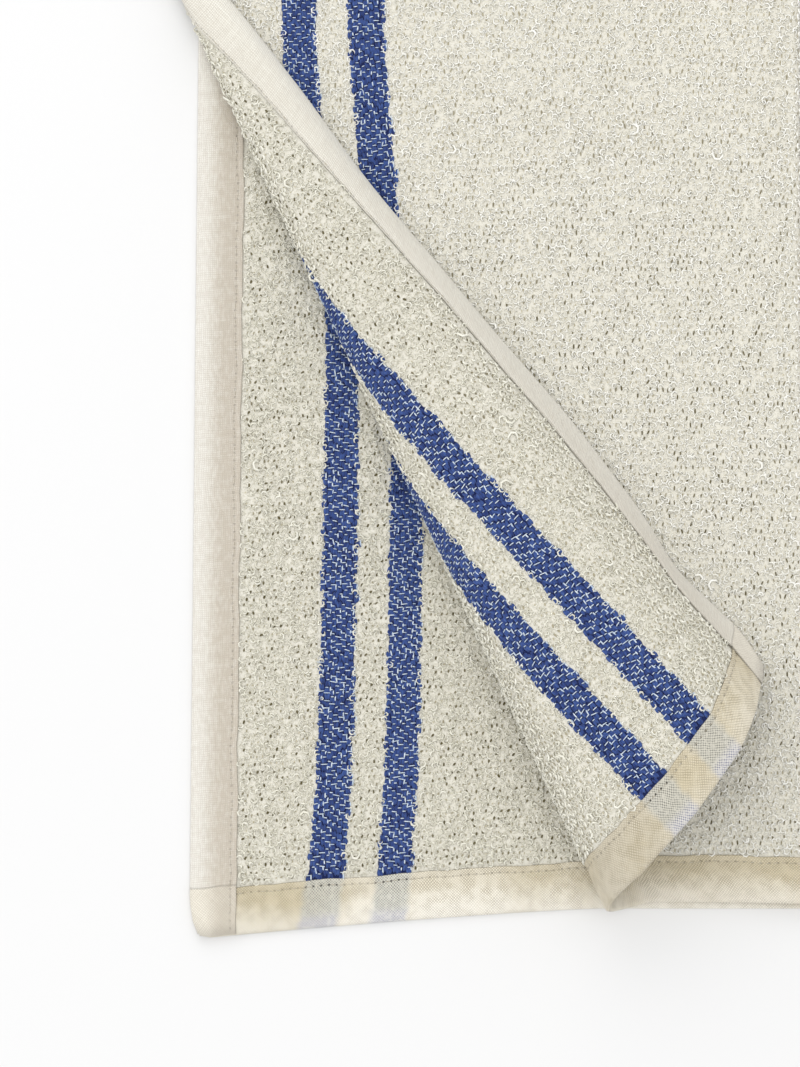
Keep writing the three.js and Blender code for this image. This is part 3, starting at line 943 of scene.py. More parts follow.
def loop_material(face):
    """Yarn whose tone changes from loop to loop, and a little within each."""
    made, shader = material("terry_loop_" + face, roughness=0.9, sheen=0.05)
    uv = uv_of(made, "yarn")
    tone = uv.part("X") / TILE
    mottled = tone * (1.0 - LOOP_MOTTLE) + uv.noise(5.0, 2.0) * LOOP_MOTTLE
    colour = mottled.mix(*LOOP_TONES[face])
    finish_material(made, shader, colour)
    return made


inner_loop, outer_loop = loop_material("inner"), loop_material("outer")
print("made", inner_loop.name, "and", outer_loop.name)


# %% Placing the loops
def weave_grid():
    """A jittered grid over the whole cloth inside its tapes."""
    lines = [np.arange(LOOP_GRID["first"], last, pitch) for last, pitch in zip(LOOP_GRID["last"], LOOP_PITCH)]
    u, v = (x.ravel() for x in np.meshgrid(*lines))
    u, v = (x + rng.uniform(-LOOP_GRID["jitter"], LOOP_GRID["jitter"], x.size) * pitch
            for x, pitch in zip((u, v), LOOP_PITCH))
    off_tape = TAPE_WIDTH + TAPE_CLEAR
    kept = (u > off_tape) & (CLOTH - u > TUCKED_AT) & (np.minimum(v, CLOTH - v) > off_tape)
    return u[kept], v[kept]


def cleared(u, v):
    """Moves each place away from the hole nearest to it, farther for a deeper hole."""
    tree = kdtree.KDTree(len(pit_u))
    for k, (x, y) in enumerate(zip(pit_u, pit_v)):
        tree.insert((x, y, 0.0), k)
    tree.balance()
    u, v = u.copy(), v.copy()
    for i in range(len(u)):
        spot, k, away = tree.find((u[i], v[i], 0.0))
        clear = PIT_CLEAR * pit_depth[k]
        if 0.0 < away < clear:
            u[i] = spot[0] + (u[i] - spot[0]) * clear / away
            v[i] = spot[1] + (v[i] - spot[1]) * clear / away
    return u, v


def grow_loops(name, u, v, side, finish, stray, steepest):
    """Loops on one face of the cloth, each leaning its own way, by up to steepest degrees, with its ends
    in the ground. A small share of them has strayed: these were pulled long."""
    across, along, up = cloth_frame(u, v, side)
    turn = rng.uniform(0.0, 2.0 * math.pi, len(u))[:, None]
    lean = np.radians(rng.uniform(LOOP_LOOKS["flattest"], steepest, len(u)))[:, None]
    pulled = rng.random(len(u)) < stray
    size = np.where(pulled, LOOP_LOOKS["pulled"], rng.uniform(*LOOP_LOOKS["size"], len(u)))[:, None]
    way = across * np.cos(turn) + along * np.sin(turn)
    x = way * np.cos(lean) + up * np.sin(lean)
    y = np.cross(up, way) * rng.uniform(*LOOP_LOOKS["narrow"], len(u))[:, None]
    z = np.cross(x, np.cross(up, way))
    rise = ROOTED["share"] * LOOP["radius"] * size * np.sin(lean) + ROOTED["rise"]
    places = on_cloth(u, v, side * GROUND_HALF) + up * rise
    return copies(name, LOOP_SHAPE, places, (x * size, y * size, z), finish)


# %% The pile
loop_u, loop_v = cleared(*weave_grid())
kept = ~in_stripe(loop_u, loop_v, rng.uniform(0.0, STRIPE_RAGGED, len(loop_u)))
loop_u, loop_v = loop_u[kept], loop_v[kept]
loop_inner, loop_outer = seen(loop_u, loop_v)
for name, side, here in zip(("pits_inner", "pits_outer"), (1.0, -1.0), seen(pit_u, pit_v)):
    dig_pits(name, pit_u[here], pit_v[here], side, pit_depth[here])
for name, here, stray in [
    ("loops_lower", loop_inner & (loop_u < CLOTH / 2), STRAYS["lower"]),
    ("loops_curl", loop_inner & (loop_u >= CLOTH / 2), STRAYS["curl"]),
]:
    grow_loops(name, loop_u[here], loop_v[here], 1.0, inner_loop, stray, STEEPEST["inner"])
for part, low, high in UPPER_PARTS:
    here = loop_outer & (loop_v >= low) & (loop_v < high)
    name, steepest = "loops_upper_" + part, STEEPEST[part]
    grow_loops(name, loop_u[here], loop_v[here], -1.0, outer_loop, STRAYS["upper"], steepest)

# %% [markdown]
# ## The stripes
#
# In the stripes the pile yarn is dyed blue and lies flat, as short plump floats in staggered rows. White
# weft crosses between them as small dashes, and white warp as upright ticks, so the blue looks stitched.
# A printed pattern would lie flat where these catch the light. Floats, dashes and ticks are each one small
# shape, copied to the weave's places as the loops were.

# %% Sizes and materials of the stripe yarns
STRIPE_COLUMNS = 7
STRIPE_PITCH = 1.9
STRIPE_ROWS = (TAPE_WIDTH + 0.7, CLOTH - TAPE_WIDTH - 0.6)
STRAY_ROW = 0.10
STRAY_COLUMN = {"edge": 0.22, "inside": 0.08}
STRAND = {"wide": 0.46, "long": 1.12, "high": 0.42, "size": (0.85, 1.15), "over": 0.10}
STRANDS = (-0.34, 0.34)  # a float is two strands side by side
STRAND_STRAYS = {"turn": 0.16, "along": 0.12}
DASH = {"radius": 1.15, "yarn": 0.42, "degrees": 80.0, "steps": 4}
DASH_SHAPE = arc_of_yarn(**DASH)
BLUE_DEEP = srgb(18, 34, 94)
BLUE_LIGHT = srgb(72, 100, 164)
FLOAT_DEEP = srgb(176, 194, 216)
FLOAT_LIGHT = srgb(234, 243, 250)
YARN_BUMP = 0.0002
EDGE_WOBBLE = [(0.22, 7.3), (0.20, 12.1), (0.16, 23.0)]  # how far, and over what length
FLOAT_LOOKS = {  # for dashes and for ticks: share of the cells, shortest, longest, thickness
    1.0: [(0.92, 0.7, 1.9, 0.85), (0.40, 0.8, 1.5, 1.15)],
    -1.0: [(0.90, 0.7, 1.6, 0.75), (0.38, 0.8, 1.5, 1.1)],
}
DASH_OVER = 0.50
DASH_STRAYS = {"turn": 0.14, "up": (-0.12, 0.05)}
LONG_ARE_RARE = 3  # power: most dashes and ticks are near the shortest
TICK_ASIDE, TICK_AHEAD = (0.7, 0.15), (0.25, 0.2)  # a tick's place from its float: mean and spread


def strand_shape():
    """A round pellet of 1 mm radius, to be drawn out long."""
    bm = bmesh.new()
    bmesh.ops.create_icosphere(bm, subdivisions=1, radius=1.0)
    return shape_of(bm)


def stripe_material(name, deep, light, streaks):
    """Yarn that runs from a deep to a light tone, from copy to copy and in fine streaks along it."""
    made, shader = material(name, roughness=0.85, sheen=0.15)
    uv = uv_of(made, "yarn")
    tone = uv.part("X") / TILE
    streak = uv.stretched(streaks, 1.2).noise(1.0, 2.0)
    colour = (tone * 0.5 + streak.ramp(0.3, 0.7) * 0.5).mix(deep, light)
    finish_material(made, shader, colour, streak, YARN_BUMP)
    return made


blue_yarn = stripe_material("blue_yarn", BLUE_DEEP, BLUE_LIGHT, streaks=4.0)
white_yarn = stripe_material("white_yarn", FLOAT_DEEP, FLOAT_LIGHT, streaks=2.0)
print("made", blue_yarn.name, "and", white_yarn.name)


# %% Weaving the stripes
def stripe_cells(upper):
    """The u and v of each float of both stripes, in staggered rows."""
    found_u, found_v = [], []
    rows = np.arange(*STRIPE_ROWS, STRIPE_PITCH)
    for start, end in (STRIPES[:2], STRIPES[2:]):
        for column in range(STRIPE_COLUMNS):
            v = rows + (column % 2) * STRIPE_PITCH / 2 + rng.normal(0.0, STRAY_ROW, len(rows))
            stray = STRAY_COLUMN["edge" if column in (0, STRIPE_COLUMNS - 1) else "inside"]
            at = start + (end - start) * (column + 0.5) / STRIPE_COLUMNS + rng.normal(0.0, stray, len(v))
            at += sum(far * np.sin(2.0 * math.pi * v / over + over) for far, over in EDGE_WOBBLE)
            inset = stripe_inset(at, v, np.full(len(v), upper))
            found_u.append(CLOTH - inset if upper else inset)
            found_v.append(v)
    return np.concatenate(found_u), np.concatenate(found_v)


def turned(first, second, angle):
    """Two directions turned about their common normal by an angle in radians each."""
    angle = angle[:, None]
    return first * np.cos(angle) + second * np.sin(angle), second * np.cos(angle) - first * np.sin(angle)


def together(axes):
    """The axes of several sets of copies, joined set after set."""
    return tuple(np.concatenate(same) for same in zip(*axes))


def weave_strands(name, u, v, side):
    """The blue floats, each of two plump strands."""
    across, along, up = cloth_frame(u, v, side)
    base = on_cloth(u, v, side * (GROUND_HALF + STRAND["over"]))
    places, axes = [], []
    for offset in STRANDS:
        wide, long = turned(across, along, rng.normal(0.0, STRAND_STRAYS["turn"], len(u)))
        size = rng.uniform(*STRAND["size"], (len(u), 1))
        places.append(base + across * offset + along * rng.normal(0.0, STRAND_STRAYS["along"], (len(u), 1)))
        axes.append((wide * STRAND["wide"] * size, long * STRAND["long"], up * STRAND["high"] * size))
    return copies(name, strand_shape(), np.concatenate(places), together(axes), blue_yarn)


def weave_floats(name, u, v, side):
    """White weft dashes at the end of most floats, and white warp ticks beside some."""
    across, along, up = cloth_frame(u, v, side)
    base = on_cloth(u, v, side * (GROUND_HALF + DASH_OVER)) - up * DASH["radius"]
    places, axes = [], []
    aside = across * rng.normal(*TICK_ASIDE, (len(u), 1)) + along * rng.normal(*TICK_AHEAD, (len(u), 1))
    for (lies, other, shift), (share, shortest, longest, thick) in zip(
        [(across, along, along * STRIPE_PITCH / 2), (along, -across, aside)], FLOAT_LOOKS[side]
    ):
        here = rng.random(len(u)) < share
        wide, long = turned(other, lies, rng.normal(0.0, DASH_STRAYS["turn"], len(u)))
        reach = shortest + (longest - shortest) * rng.random((len(u), 1)) ** LONG_ARE_RARE
        places.append((base + shift + up * rng.uniform(*DASH_STRAYS["up"], (len(u), 1)))[here])
        axes.append((up[here], (long * reach)[here], (wide * thick)[here]))
    return copies(name, DASH_SHAPE, np.concatenate(places), together(axes), white_yarn)


# %% Both stripes, on each face that shows
for name, upper, side in [("lower", False, 1.0), ("curl", True, 1.0), ("upper", True, -1.0)]:
    u, v = stripe_cells(upper)
    shown = seen(u, v)[0 if side > 0 else 1]
    weave_strands("blue_floats_" + name, u[shown], v[shown], side)
    weave_floats("white_floats_" + name, u[shown], v[shown], side)

# %% [markdown]
# ## The tapes
#
# A binding tape is a strip of thin calico, folded over the raw edge and stitched through. Its section is
# a long U. It is pulled in along the line of stitches, with a small soft ridge where its own edge is
# turned under. A curve with a bevel profile could make it along a straight edge, but these edges follow
# the curl and change height at the corners. So a flat grid is wrapped round the section, station by
# station, and laid on the cloth like everything else.

# %% Section of a tape
RIDGE = {"width": 1.3, "to": 0.4, "height": 0.10}
STITCH = {"inset": 10.25, "pitch": 2.13}
GROOVE = {"half": 0.6, "depth": 0.22}
WANDER = [(0.10, 9.7), (0.14, 23.0), (0.12, 41.0)]  # how far, and over what length
WANDER_FROM = 7.0
PUFF = {"by": 0.25, "at": 3.2, "over": 3.0}
INNER_EDGE = {"past": 0.15, "over": 0.5, "height": 0.35}  # the turned-under edge is rounded off
TUCK = {"from": 10.25, "share": 0.25}  # past this inset the upper side tape is tucked into the pile
OUTER_INSETS = [12.0, 11.85, 11.5, 11.1, 10.7, 10.25, 9.8, 9.2, 8.0, 6.5, 5.0, 3.5, 2.0, 1.0, 0.3]
LINING_INSETS = (12.0, 8.0, 4.0, -0.3)
EDGE_TURN = {"reach": 0.9, "degrees": (62, 35, 10, -10, -35, -62)}


def wandering(inset, station):
    """A tape's inset at a station. Its stitches and its inner edge wander a little."""
    far = sum(by * np.sin(2.0 * math.pi * station / over + over) for by, over in WANDER)
    return inset + far * smooth(inset, WANDER_FROM, STITCH["inset"])


def tape_height(inset, rise):
    """Height of a tape's outside over the cloth's middle."""
    ridge = RIDGE["height"] * smooth(inset, TAPE_WIDTH - RIDGE["width"], TAPE_WIDTH - RIDGE["to"])
    groove = GROOVE["depth"] * np.exp(-(((inset - STITCH["inset"]) / GROOVE["half"]) ** 2))
    full = np.sqrt(np.clip((TAPE_WIDTH + INNER_EDGE["past"] - inset) / INNER_EDGE["over"], 0.0, 1.0))
    puff = PUFF["by"] * np.exp(-(((inset - PUFF["at"]) / PUFF["over"]) ** 2))
    share = INNER_EDGE["height"] + (1.0 - INNER_EDGE["height"]) * full
    return TAPE_INNER + rise + (TAPE + ridge + puff) * share - groove


def tape_section(rise):
    """Points of the section as (inset, height), from the inner face round the edge and back inside."""
    outer = [(x, float(tape_height(np.array(x), rise))) for x in OUTER_INSETS]
    angles = [math.radians(degrees) for degrees in EDGE_TURN["degrees"]]
    turn = [(-EDGE_TURN["reach"] * math.cos(a), outer[-1][1] * math.sin(a)) for a in angles]
    under = [(x, -z) for x, z in reversed(outer)]
    lining = [(x, -(TAPE_INNER + rise)) for x in LINING_INSETS]
    return np.array([*outer, *turn, *under, *lining, *[(x, -z) for x, z in reversed(lining)]])


print("a tape's section has", len(tape_section(0.0)), "points")

# %% [markdown]
# ## The calico
#
# Calico is a plain weave, one thread over and one under. The hem tapes are cut on the bias, so their
# threads run diagonally, and they are thin enough for the blue under them to show in their gaps. The side
# tapes are cut straight. Modelled threads would be a hundred thousand crossings, too fine to see their
# shape. So the weave is a formula on the tape's own coordinates in millimetres: two sine waves for the
# threads, noise stretched along them for their slubs, and a deeper tone at the hems' ends. Over it lie
# painted shade, along the inner edges and at the curl's tip, and a painted highlight along the outer edges.

# %% Colours and sizes of the calico
TAPE_PALE = srgb(246, 241, 228)
TAPE_PEACH = srgb(211, 200, 173)
TAPE_HIGHLIGHT = srgb(252, 251, 248)
TAPE_GAP = srgb(148, 136, 110)
SIDE_PALE = srgb(234, 231, 222)
SIDE_PALE_AND_LIT = srgb(240, 238, 228)
SIDE_GREY = srgb(201, 192, 178)
SIDE_GAP = srgb(178, 169, 154)
SHOWN = srgb(202, 203, 197)
SHOWN_BLUE = srgb(208, 209, 214)
DOT = srgb(66, 68, 64)
DOT_BLUE = srgb(66, 74, 124)
HOLE_AND_SHADE = srgb(48, 44, 36)
THREAD = 0.55  # from one thread to the next
THREAD_WANDER = 0.9
SLUB = (1.4, 0.10)  # how fine the slubs are across a thread and along it
BETWEEN_THREADS = (0.75, 0.1)  # a thread's wave is 1 along its middle and 0 in the gaps beside it
AT_CROSSINGS = (0.8, 0.2)  # both waves are low where two gaps cross, which leaves a dot
EDGE_SHADE = 11.8  # from here to its inner edge a tape turns down, into its own shade
DARK_ENDS = {"lower": 50.0, "middle": 20.0, "upper": (135.0, 185.0)}  # stations of a hem's darker ends; on the upper layer's hem the darkening is painted shade
LYING = (250.0, 225.0)  # stations between which a hem's painted highlight on its edge and painted shade on its inner edge fade towards the curl
HEM_INNER_SHADE = {"inset": (4.0, 9.0), "ragged": 3.0}  # the lower layer's hem is painted deeper along its inner edge, as shade
HEM_HIGHLIGHT = (6.0, 0.0)  # insets between which a painted highlight grows towards a hem's outer edge
HEM_BLUER = (4.0, 0.5)  # insets between which the stripes under it show bluer
# insets between which a side tape is painted greyer towards its inner edge, as shade
SIDE_INNER_SHADE = {"inset": (2.0, 8.0), "ragged": 3.0}
# insets between which a painted highlight grows towards a side tape's outer edge
SIDE_HIGHLIGHT = (4.5, 0.5)
SIDE_GREYER = (160.0, 20.0)  # stations between which the upper side tape is painted greyer towards its near end, as shade
TIP_SHADE = {"at": 262.0, "half": 8.0, "soft": 12.0}  # where the hem is painted darker, as shade, at the curl's lowest tip
TAPE_EDGE = 40.0  # a tape's edge in its texture coordinate, with its inner face above and its outer below
UNDER_HEM = {"half": 3.6, "soft": 2.4, "ragged": 2.0}  # a stripe as it shows through, from its middle
SEAM = {"at": 12.5, "half": 0.05, "soft": 0.3, "step": 0.15, "wander": 1.2}
NEEDLE_HOLE = {"along": 0.16, "across": 0.14, "soft": 0.2}
CALICO_BUMP = 0.00016
DIAGONAL = 0.7071  # cosine of 45 degrees
SAME_PITCH = 1.41  # makes straight threads as fine as the bias ones
print("calico has", round(10 / THREAD), "threads to the centimetre")


# %% The weave of the calico
class Weave:
    """The threads of a tape, straight or on the bias, from its own texture coordinate in millimetres."""

    def __init__(self, uv, bias):
        across, along = uv.part("X"), uv.part("Y")
        if bias:
            first, second = across + along, across - along
        else:
            first, second = across * SAME_PITCH, along * SAME_PITCH
        wander = (uv.noise(0.25, 2.0) - 0.5) * THREAD_WANDER
        lines = vector(first, second)
        warp, weft = (
            ((threads * DIAGONAL + wander) / THREAD * math.pi).sine().away() for threads in (first, second)
        )
        self.gap = warp.ramp(*BETWEEN_THREADS).math("MAXIMUM", weft.ramp(*BETWEEN_THREADS))
        self.dot = warp.ramp(*AT_CROSSINGS) * weft.ramp(*AT_CROSSINGS)
        warp_slub = lines.stretched(*SLUB).noise(1.0, 2.0)
        weft_slub = lines.stretched(*reversed(SLUB)).noise(1.0, 2.0)
        self.slub = (warp_slub + weft_slub) * 0.5
        self.height = self.slub - self.gap * 0.4


def stitch_holes(inset, along):
    """The small needle holes of the row of stitches."""
    step = ((along / STITCH["pitch"]).fraction() - 0.5) * STITCH["pitch"]
    row = inset.band(STITCH["inset"], NEEDLE_HOLE["across"], NEEDLE_HOLE["soft"])
    return step.band(0.0, NEEDLE_HOLE["along"], NEEDLE_HOLE["soft"]) * row


# %% Material of the hem tapes
def hem_material():
    """Bias-cut calico, thin enough that the blue stripes under it show between its threads."""
    made, shader = material("hem_calico", roughness=0.85, sheen=0.15)
    uv = uv_of(made, "tape").stretched(TILE, TILE)
    inset, along = (uv.part("X") - TAPE_EDGE).away(), uv.part("Y")
    weave = Weave(uv, bias=True)
    # patches of a deeper tone, all over the hem's darker ends, the upper one painted shade, and as painted
    # shade along the lower layer's inner edge
    wear_and_shading = along.ramp(DARK_ENDS["lower"], DARK_ENDS["middle"]) + along.ramp(*DARK_ENDS["upper"])
    lying = along.ramp(*LYING)
    tone = (weave.slub * 0.4 + uv.noise(0.05, 1.0) * 0.6).ramp(0.42, 0.64) * 0.5 + wear_and_shading * 0.5
    inner_shade = (inset + (uv.noise(0.3, 2.0) - 0.5) * HEM_INNER_SHADE["ragged"]).ramp(*HEM_INNER_SHADE["inset"])
    # painted shade along the inner edge, only where the hem lies flat
    tone = tone + inner_shade * (lying * 0.42)
    # the gaps between the threads, the painted shade at the curl's tip and the painted highlight on the edge
    open_weave = uv.noise(0.3, 2.0).ramp(0.35, 0.65) * 0.4 + 0.4
    colour = (weave.gap * open_weave).mix(tone.mix(TAPE_PALE, TAPE_PEACH), TAPE_GAP)
    tip = along.band(TIP_SHADE["at"], TIP_SHADE["half"], TIP_SHADE["soft"])
    colour = (tip * 0.3).mix(colour, TAPE_GAP)
    colour = (inset.ramp(*HEM_HIGHLIGHT) * (lying * 0.17 + 0.05)).mix(colour, TAPE_HIGHLIGHT)
    # the stripes that show through, as a grey veil and as dots in the gaps, bluer beside the cloth's edge
    ragged = (uv.noise(0.3, 1.0) - 0.5) * UNDER_HEM["ragged"]
    across = uv_of(made, "cloth").stretched(TILE, TILE).part("X") + ragged
    shown = both_stripes(across, UNDER_HEM["half"], UNDER_HEM["soft"])
    near_edge = inset.ramp(*HEM_BLUER)
    colour = (shown * 0.6).mix(colour, near_edge.mix(SHOWN, SHOWN_BLUE))
    spots = (weave.dot * 0.85 + weave.gap * 0.28) * uv.noise(0.9, 1.0).ramp(0.3, 0.55)
    colour = (shown * spots).mix(colour, near_edge.mix(DOT, DOT_BLUE))
    holes = stitch_holes(inset, along)
    # needle holes, and painted shade where the tape turns down at its inner edge
    colour = (holes * (shown * 0.6 + 0.3) + inset.ramp(EDGE_SHADE, TAPE_WIDTH) * 0.4).mix(colour, HOLE_AND_SHADE)
    finish_material(made, shader, colour, weave.height - holes, CALICO_BUMP)
    return made


hem_calico = hem_material()
print("made", hem_calico.name)


# %% Material of the side tapes
def side_material(name, pale, wear_and_shading):
    """Straight-cut calico, with a painted highlight towards the edge, painted shade greying it inside and
    grey worn blots, all the more the higher its wear and shading. Past a seam at each end it is the hem's
    bias-cut piece."""
    made, shader = material(name, roughness=0.85, sheen=0.15)
    uv = uv_of(made, "tape").stretched(TILE, TILE)
    inset, along = (uv.part("X") - TAPE_EDGE).away(), uv.part("Y")
    straight, bias = Weave(uv, bias=False), Weave(uv, bias=True)
    # the straight-cut cloth, with grey blots where it is worn, and painted shade greying it towards the inner
    # edge
    blot = uv.stretched(1.1, 0.45).noise(1.0, 3.0).ramp(0.66, 0.38)
    shade = (inset + (uv.noise(0.5, 3.0) - 0.5) * SIDE_INNER_SHADE["ragged"]).ramp(*SIDE_INNER_SHADE["inset"])
    grey = (shade * 0.65 + blot * 0.3) * wear_and_shading + straight.slub.ramp(0.6, 0.4) * 0.2
    grey = grey + along.ramp(*SIDE_GREYER) * (1.0 - wear_and_shading) * 0.3
    colour = (straight.gap * 0.4).mix(grey.mix(pale, SIDE_GREY), SIDE_GAP)
    # painted highlight towards the outer edge
    colour = (inset.ramp(*SIDE_HIGHLIGHT) * wear_and_shading * 0.18).mix(colour, TAPE_HIGHLIGHT)
    # the bias-cut piece at either end
    end = CLOTH / 2 - (along - CLOTH / 2).away()
    seam = end + (uv.noise(0.2, 1.0) - 0.5) * SEAM["wander"]
    corner = seam.ramp(SEAM["at"] + SEAM["step"], SEAM["at"] - SEAM["step"])
    piece = (shade * wear_and_shading * 0.5 + bias.slub.ramp(0.6, 0.4) * 0.2 + 0.15).mix(TAPE_PALE, SIDE_GREY)
    piece = (bias.gap * 0.35).mix(piece, TAPE_GAP)
    colour = corner.mix(colour, piece)
    # the seam between the two, the stitches' holes and the inner edge's own shade
    line = seam.band(SEAM["at"], SEAM["half"], SEAM["soft"])
    holes = stitch_holes(inset, along)
    colour = (line * 0.22 + holes * 0.16 + inset.ramp(EDGE_SHADE, TAPE_WIDTH) * 0.5).mix(colour, HOLE_AND_SHADE)
    height = straight.height + corner * (bias.height - straight.height) - line - holes
    finish_material(made, shader, colour, height, CALICO_BUMP)
    return made


# the upper side tape is a paler, partly lit copy of the lower: less painted shade and highlight
lower_calico = side_material("lower_calico", SIDE_PALE, wear_and_shading=1.0)
upper_calico = side_material("upper_calico", SIDE_PALE_AND_LIT, wear_and_shading=0.25)
print("made", lower_calico.name, "and", upper_calico.name)


# %% Wrapping a grid round a tape's section
HEM_INSETS = np.linspace(-2.0, TAPE_WIDTH + 1.0, 14)  # insets at which the panel's columns are worked out
LAST_ROW = 1.001  # just over 1, so that a point past the last row still has a row on either side
SAME_SPOT = 1e-7


def swept_tape(name, stations, rise, place, finish):
    """A tape along an edge. place(j, inset) gives the u and v of points that far in from the edge, at the
    stations numbered j. rise is how far the section is raised at each station."""
    sections = np.array([tape_section(r) for r in rise])
    count = sections.shape[1]
    mesh = bpy.data.meshes.new(name)
    bm = bmesh.new()
    bmesh.ops.create_grid(bm, x_segments=count, y_segments=len(stations) - 1, size=1.0)
    flat = np.array([vertex.co[:] for vertex in bm.verts])
    k = np.rint((flat[:, 0] + 1) / 2 * count).astype(int)
    j = np.rint((flat[:, 1] + 1) / 2 * (len(stations) - 1)).astype(int)
    spot = sections[j, k % count]
    inset = wandering(spot[:, 0], stations[j])
    u, v = place(j, inset)
    for vertex, co in zip(bm.verts, metres(on_cloth(u, v, spot[:, 1]))):
        vertex.co = co
    bm.verts.index_update()
    tape_uv = bm.loops.layers.uv.new("tape")
    cloth_uv = bm.loops.layers.uv.new("cloth")
    side = np.where(spot[:, 1] >= 0.0, 1.0, -1.0)
    lengths = join(spot[:, 0] * side + TAPE_EDGE, stations[j]) / TILE
    stripes = join(stripe_coordinate(u, v), v) / TILE
    for face in bm.faces:
        face.smooth = True
        for corner in face.loops:
            corner[tape_uv].uv = lengths[corner.vert.index]
            corner[cloth_uv].uv = stripes[corner.vert.index]
    bmesh.ops.remove_doubles(bm, verts=bm.verts, dist=SAME_SPOT)
    bmesh.ops.holes_fill(bm, edges=[edge for edge in bm.edges if edge.is_boundary], sides=0)
    bmesh.ops.recalc_face_normals(bm, faces=bm.faces)
    bm.to_mesh(mesh)
    bm.free()
    made = new_object(name, mesh, finish)
    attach(made, "root")
    return made


# %% The four tapes
def hem_tape(name, far):
    """A hem tape's stations are the panel's columns, which follow the curl."""
    stations = COLUMNS[-1 if far else 0]
    columns = panel_columns(CLOTH - HEM_INSETS if far else HEM_INSETS)

    def place(j, inset):
        row = (inset - HEM_INSETS[0]) / (HEM_INSETS[1] - HEM_INSETS[0])
        row = np.clip(row, 0.0, len(HEM_INSETS) - LAST_ROW)
        low = row.astype(int)
        u = columns[low, j] + (columns[low + 1, j] - columns[low, j]) * (row - low)
        return u, (CLOTH - inset if far else inset)

    return swept_tape(name, stations, np.zeros(len(stations)), place, hem_calico)


def side_tape(name, upper):
    """A side tape's stations are the panel's rows. Its ends are raised over those of the hem tapes."""
    stations = np.array([-GAP - TAPE, *ROWS[1:-1], CLOTH + GAP + TAPE])
    hem = np.minimum(stations, CLOTH - stations)
    rise = CORNER_RISE * (1.0 - smooth(hem, *STEP_DOWN))

    def place(j, inset):
        tucked = np.minimum(inset, TUCK["from"]) + np.maximum(0.0, inset - TUCK["from"]) * TUCK["share"]
        return (CLOTH - tucked if upper else inset), stations[j]

    return swept_tape(name, stations, rise, place, upper_calico if upper else lower_calico)


near_tape = hem_tape("near_tape", far=False)
far_tape = hem_tape("far_tape", far=True)
lower_side_tape = side_tape("lower_side_tape", upper=False)
upper_side_tape = side_tape("upper_side_tape", upper=True)
for tape, node, slot in [
    (near_tape, "near_binding", "hem_tape"),
    (far_tape, "far_binding", "hem_tape"),
    (lower_side_tape, "lower_side_binding", "side_tape"),
    (upper_side_tape, "upper_side_binding", "side_tape"),
]:
    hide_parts(node)
    print(tape.name, "has", len(tape.data.polygons), "faces")

# %% [markdown]
# ## The stitches
#
# One row of machine stitches holds each tape, showing on both faces: short threads, each dipping into the
# needle hole at either end, drawn a little into the tape. A dashed line in the material would have no
# height, so each stitch is the stripes' dash again, in twisted sewing thread.

# %% Sewing thread
STITCH_THREAD = srgb(236, 230, 214)
STITCH_SIZE = 0.8
STITCH_LONG = 1.12
STITCH_OVER = 0.17  # how far a stitch stands over the floor of the groove
STITCH_STRAY = 0.05
TWIST = 22.0
THREAD_BUMP = 0.00005


def thread_material():
    """Sewing thread, with its twist as slanting lines."""
    made, shader = material("sewing_thread", roughness=0.6, sheen=0.1)
    uv = uv_of(made, "yarn")
    twist = ((uv.part("Y") + uv.part("X") * 0.5) * TWIST).sine()
    tone = uv.part("X") / TILE * 0.4 + twist * 0.2 + 0.3
    finish_material(made, shader, tone.mix(TAPE_GAP, STITCH_THREAD), twist, THREAD_BUMP)
    return made


sewing_thread = thread_material()
print("made", sewing_thread.name)


# %% Sewing
def sew(name, u, v, rise, along_u):
    """A row of stitches on both faces of a tape, along u or along v."""
    places, axes = [], []
    for side in (1.0, -1.0):
        across, along, up = cloth_frame(u, v, side)
        lies, wide = (across, along) if along_u else (along, -across)
        wide, lies = turned(wide, lies, rng.normal(0.0, STITCH_STRAY, len(u)))
        surface = on_cloth(u, v, side * tape_height(STITCH["inset"], rise))
        places.append(surface + up * (STITCH_OVER - (DASH["radius"] + DASH["yarn"] / 2) * STITCH_SIZE))
        axes.append((up * STITCH_SIZE, lies * STITCH_LONG, wide * STITCH_SIZE))
    return copies(name, DASH_SHAPE, np.concatenate(places), together(axes), sewing_thread)


# %% A row of stitches on each tape
STITCH_CLEAR = 0.4  # the hem's stitches stop this far short of the side tapes
steps = np.arange(STITCH["pitch"], CLOTH, STITCH["pitch"])
inset = wandering(np.full(len(steps), STITCH["inset"]), steps)
between_tapes = (steps > TAPE_WIDTH + STITCH_CLEAR) & (steps < CLOTH - TAPE_WIDTH - STITCH_CLEAR)
flat_rise = np.zeros(len(steps))
ends_rise = CORNER_RISE * (1.0 - smooth(np.minimum(steps, CLOTH - steps), *STEP_DOWN))
for tape, u, v, rise, along_u in [
    (near_tape, steps, inset, flat_rise, True),
    (far_tape, steps, CLOTH - inset, flat_rise, True),
    (lower_side_tape, inset, steps, ends_rise, False),
    (upper_side_tape, CLOTH - inset, steps, ends_rise, False),
]:
    kept = between_tapes if along_u else steps > 0.0
    sew(tape.name + "_stitches", u[kept], v[kept], rise[kept], along_u)
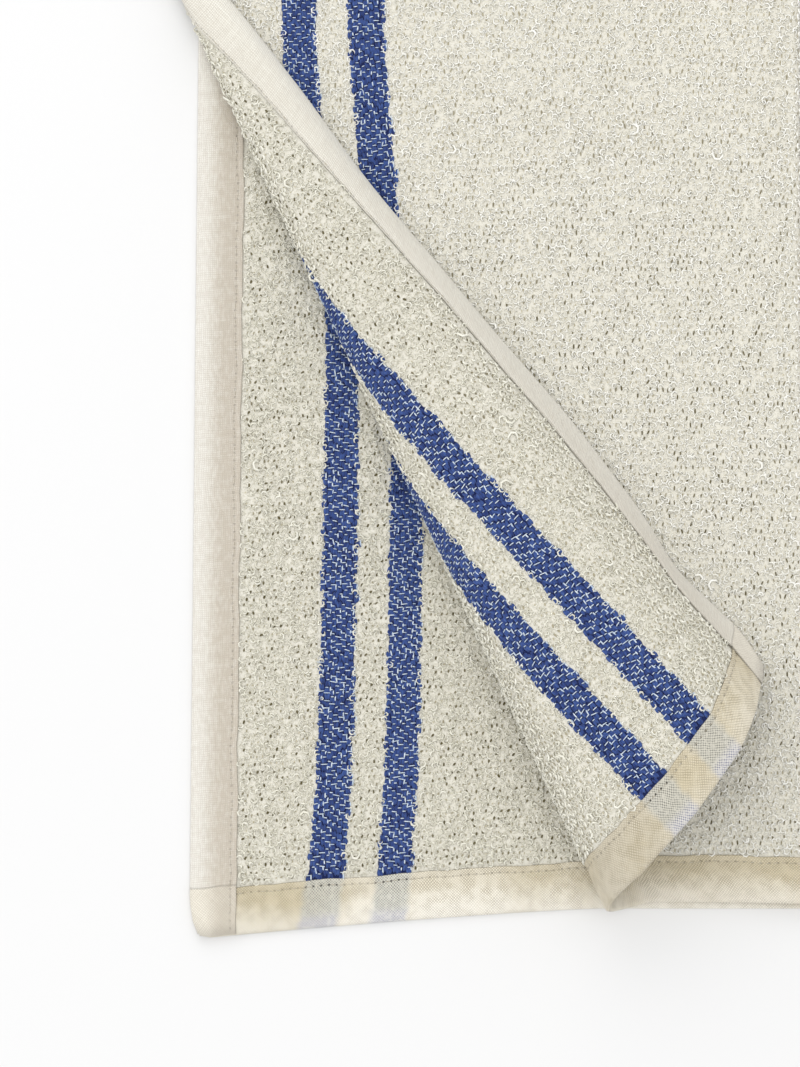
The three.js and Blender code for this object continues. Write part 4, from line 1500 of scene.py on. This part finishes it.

# %% [markdown]

# %% [markdown]
# ## Floor, light and camera
#
# The cloth lies on a plain white surface, seen from straight above. The camera is 1.5 m up, so that the
# cloth is hardly foreshortened. Three large soft lights, above, on the far side and at the left, and a
# white sky give the tape's ridge its light side and leave only a soft shade along the curl.

# %% Floor
WHITE_PAPER = 0.785
FLOOR_HALF = 3.0
floor_mesh = bpy.data.meshes.new("floor")
bm = bmesh.new()
bmesh.ops.create_grid(bm, x_segments=1, y_segments=1, size=FLOOR_HALF)
bm.to_mesh(floor_mesh)
bm.free()
paper, paper_shader = material("paper", roughness=0.6)
paper_shader.inputs["Base Color"].default_value = (WHITE_PAPER, WHITE_PAPER, WHITE_PAPER, 1.0)
floor = new_object("floor", floor_mesh, paper)
print("laid a floor of", 2 * FLOOR_HALF, "metres a side")

# %% Light
SKY = 0.83
LIT_PLACE = Vector((-0.02, -0.06, 0.0))
world = bpy.data.worlds.new("sky")
world.use_nodes = True
world.node_tree.nodes["Background"].inputs[0].default_value = (1.0, 1.0, 1.0, 1.0)
world.node_tree.nodes["Background"].inputs[1].default_value = SKY
bpy.context.scene.world = world


def soft_light(name, where, size, power):
    """A square light of that size in metres and power in watts, turned towards the cloth."""
    lamp = bpy.data.lights.new(name, "AREA")
    lamp.size = size
    lamp.energy = power
    made = bpy.data.objects.new(name, lamp)
    made.location = where
    made.rotation_euler = (LIT_PLACE - made.location).to_track_quat("-Z", "Y").to_euler()
    bpy.context.scene.collection.objects.link(made)
    print(name, "gives", power, "watts")


soft_light("window", where=(-0.1, 1.3, 1.3), size=1.3, power=6.0)
soft_light("side window", where=(-1.3, -0.3, 1.0), size=1.0, power=3.0)
soft_light("ceiling", where=(0.0, 0.0, 2.2), size=1.5, power=14.0)

# %% Camera
PIXELS_PER_MM = 3.667
PICTURE = {"width": 800.0, "middle": (400.0, 533.5), "cloth": (500.0, 905.0)}  # pixels; "cloth" is x 0, y 0
CAMERA_HEIGHT = 1.5
SENSOR = 36.0
camera_data = bpy.data.cameras.new("camera")
camera_data.sensor_fit = "HORIZONTAL"
camera_data.sensor_width = SENSOR
camera_data.lens = SENSOR * CAMERA_HEIGHT / (PICTURE["width"] / PIXELS_PER_MM * MM)
camera = bpy.data.objects.new("camera", camera_data)
view_x = (PICTURE["middle"][0] - PICTURE["cloth"][0]) / PIXELS_PER_MM
view_y = (PICTURE["cloth"][1] - PICTURE["middle"][1]) / PIXELS_PER_MM
camera.location = ((view_x - CENTRE[0]) * MM, (view_y - CENTRE[1]) * MM, CAMERA_HEIGHT)
bpy.context.scene.collection.objects.link(camera)
bpy.context.scene.camera = camera
bpy.context.scene.view_settings.view_transform = "Standard"
print("the camera looks down at", camera.location[:2], "with a lens of", round(camera_data.lens), "mm")
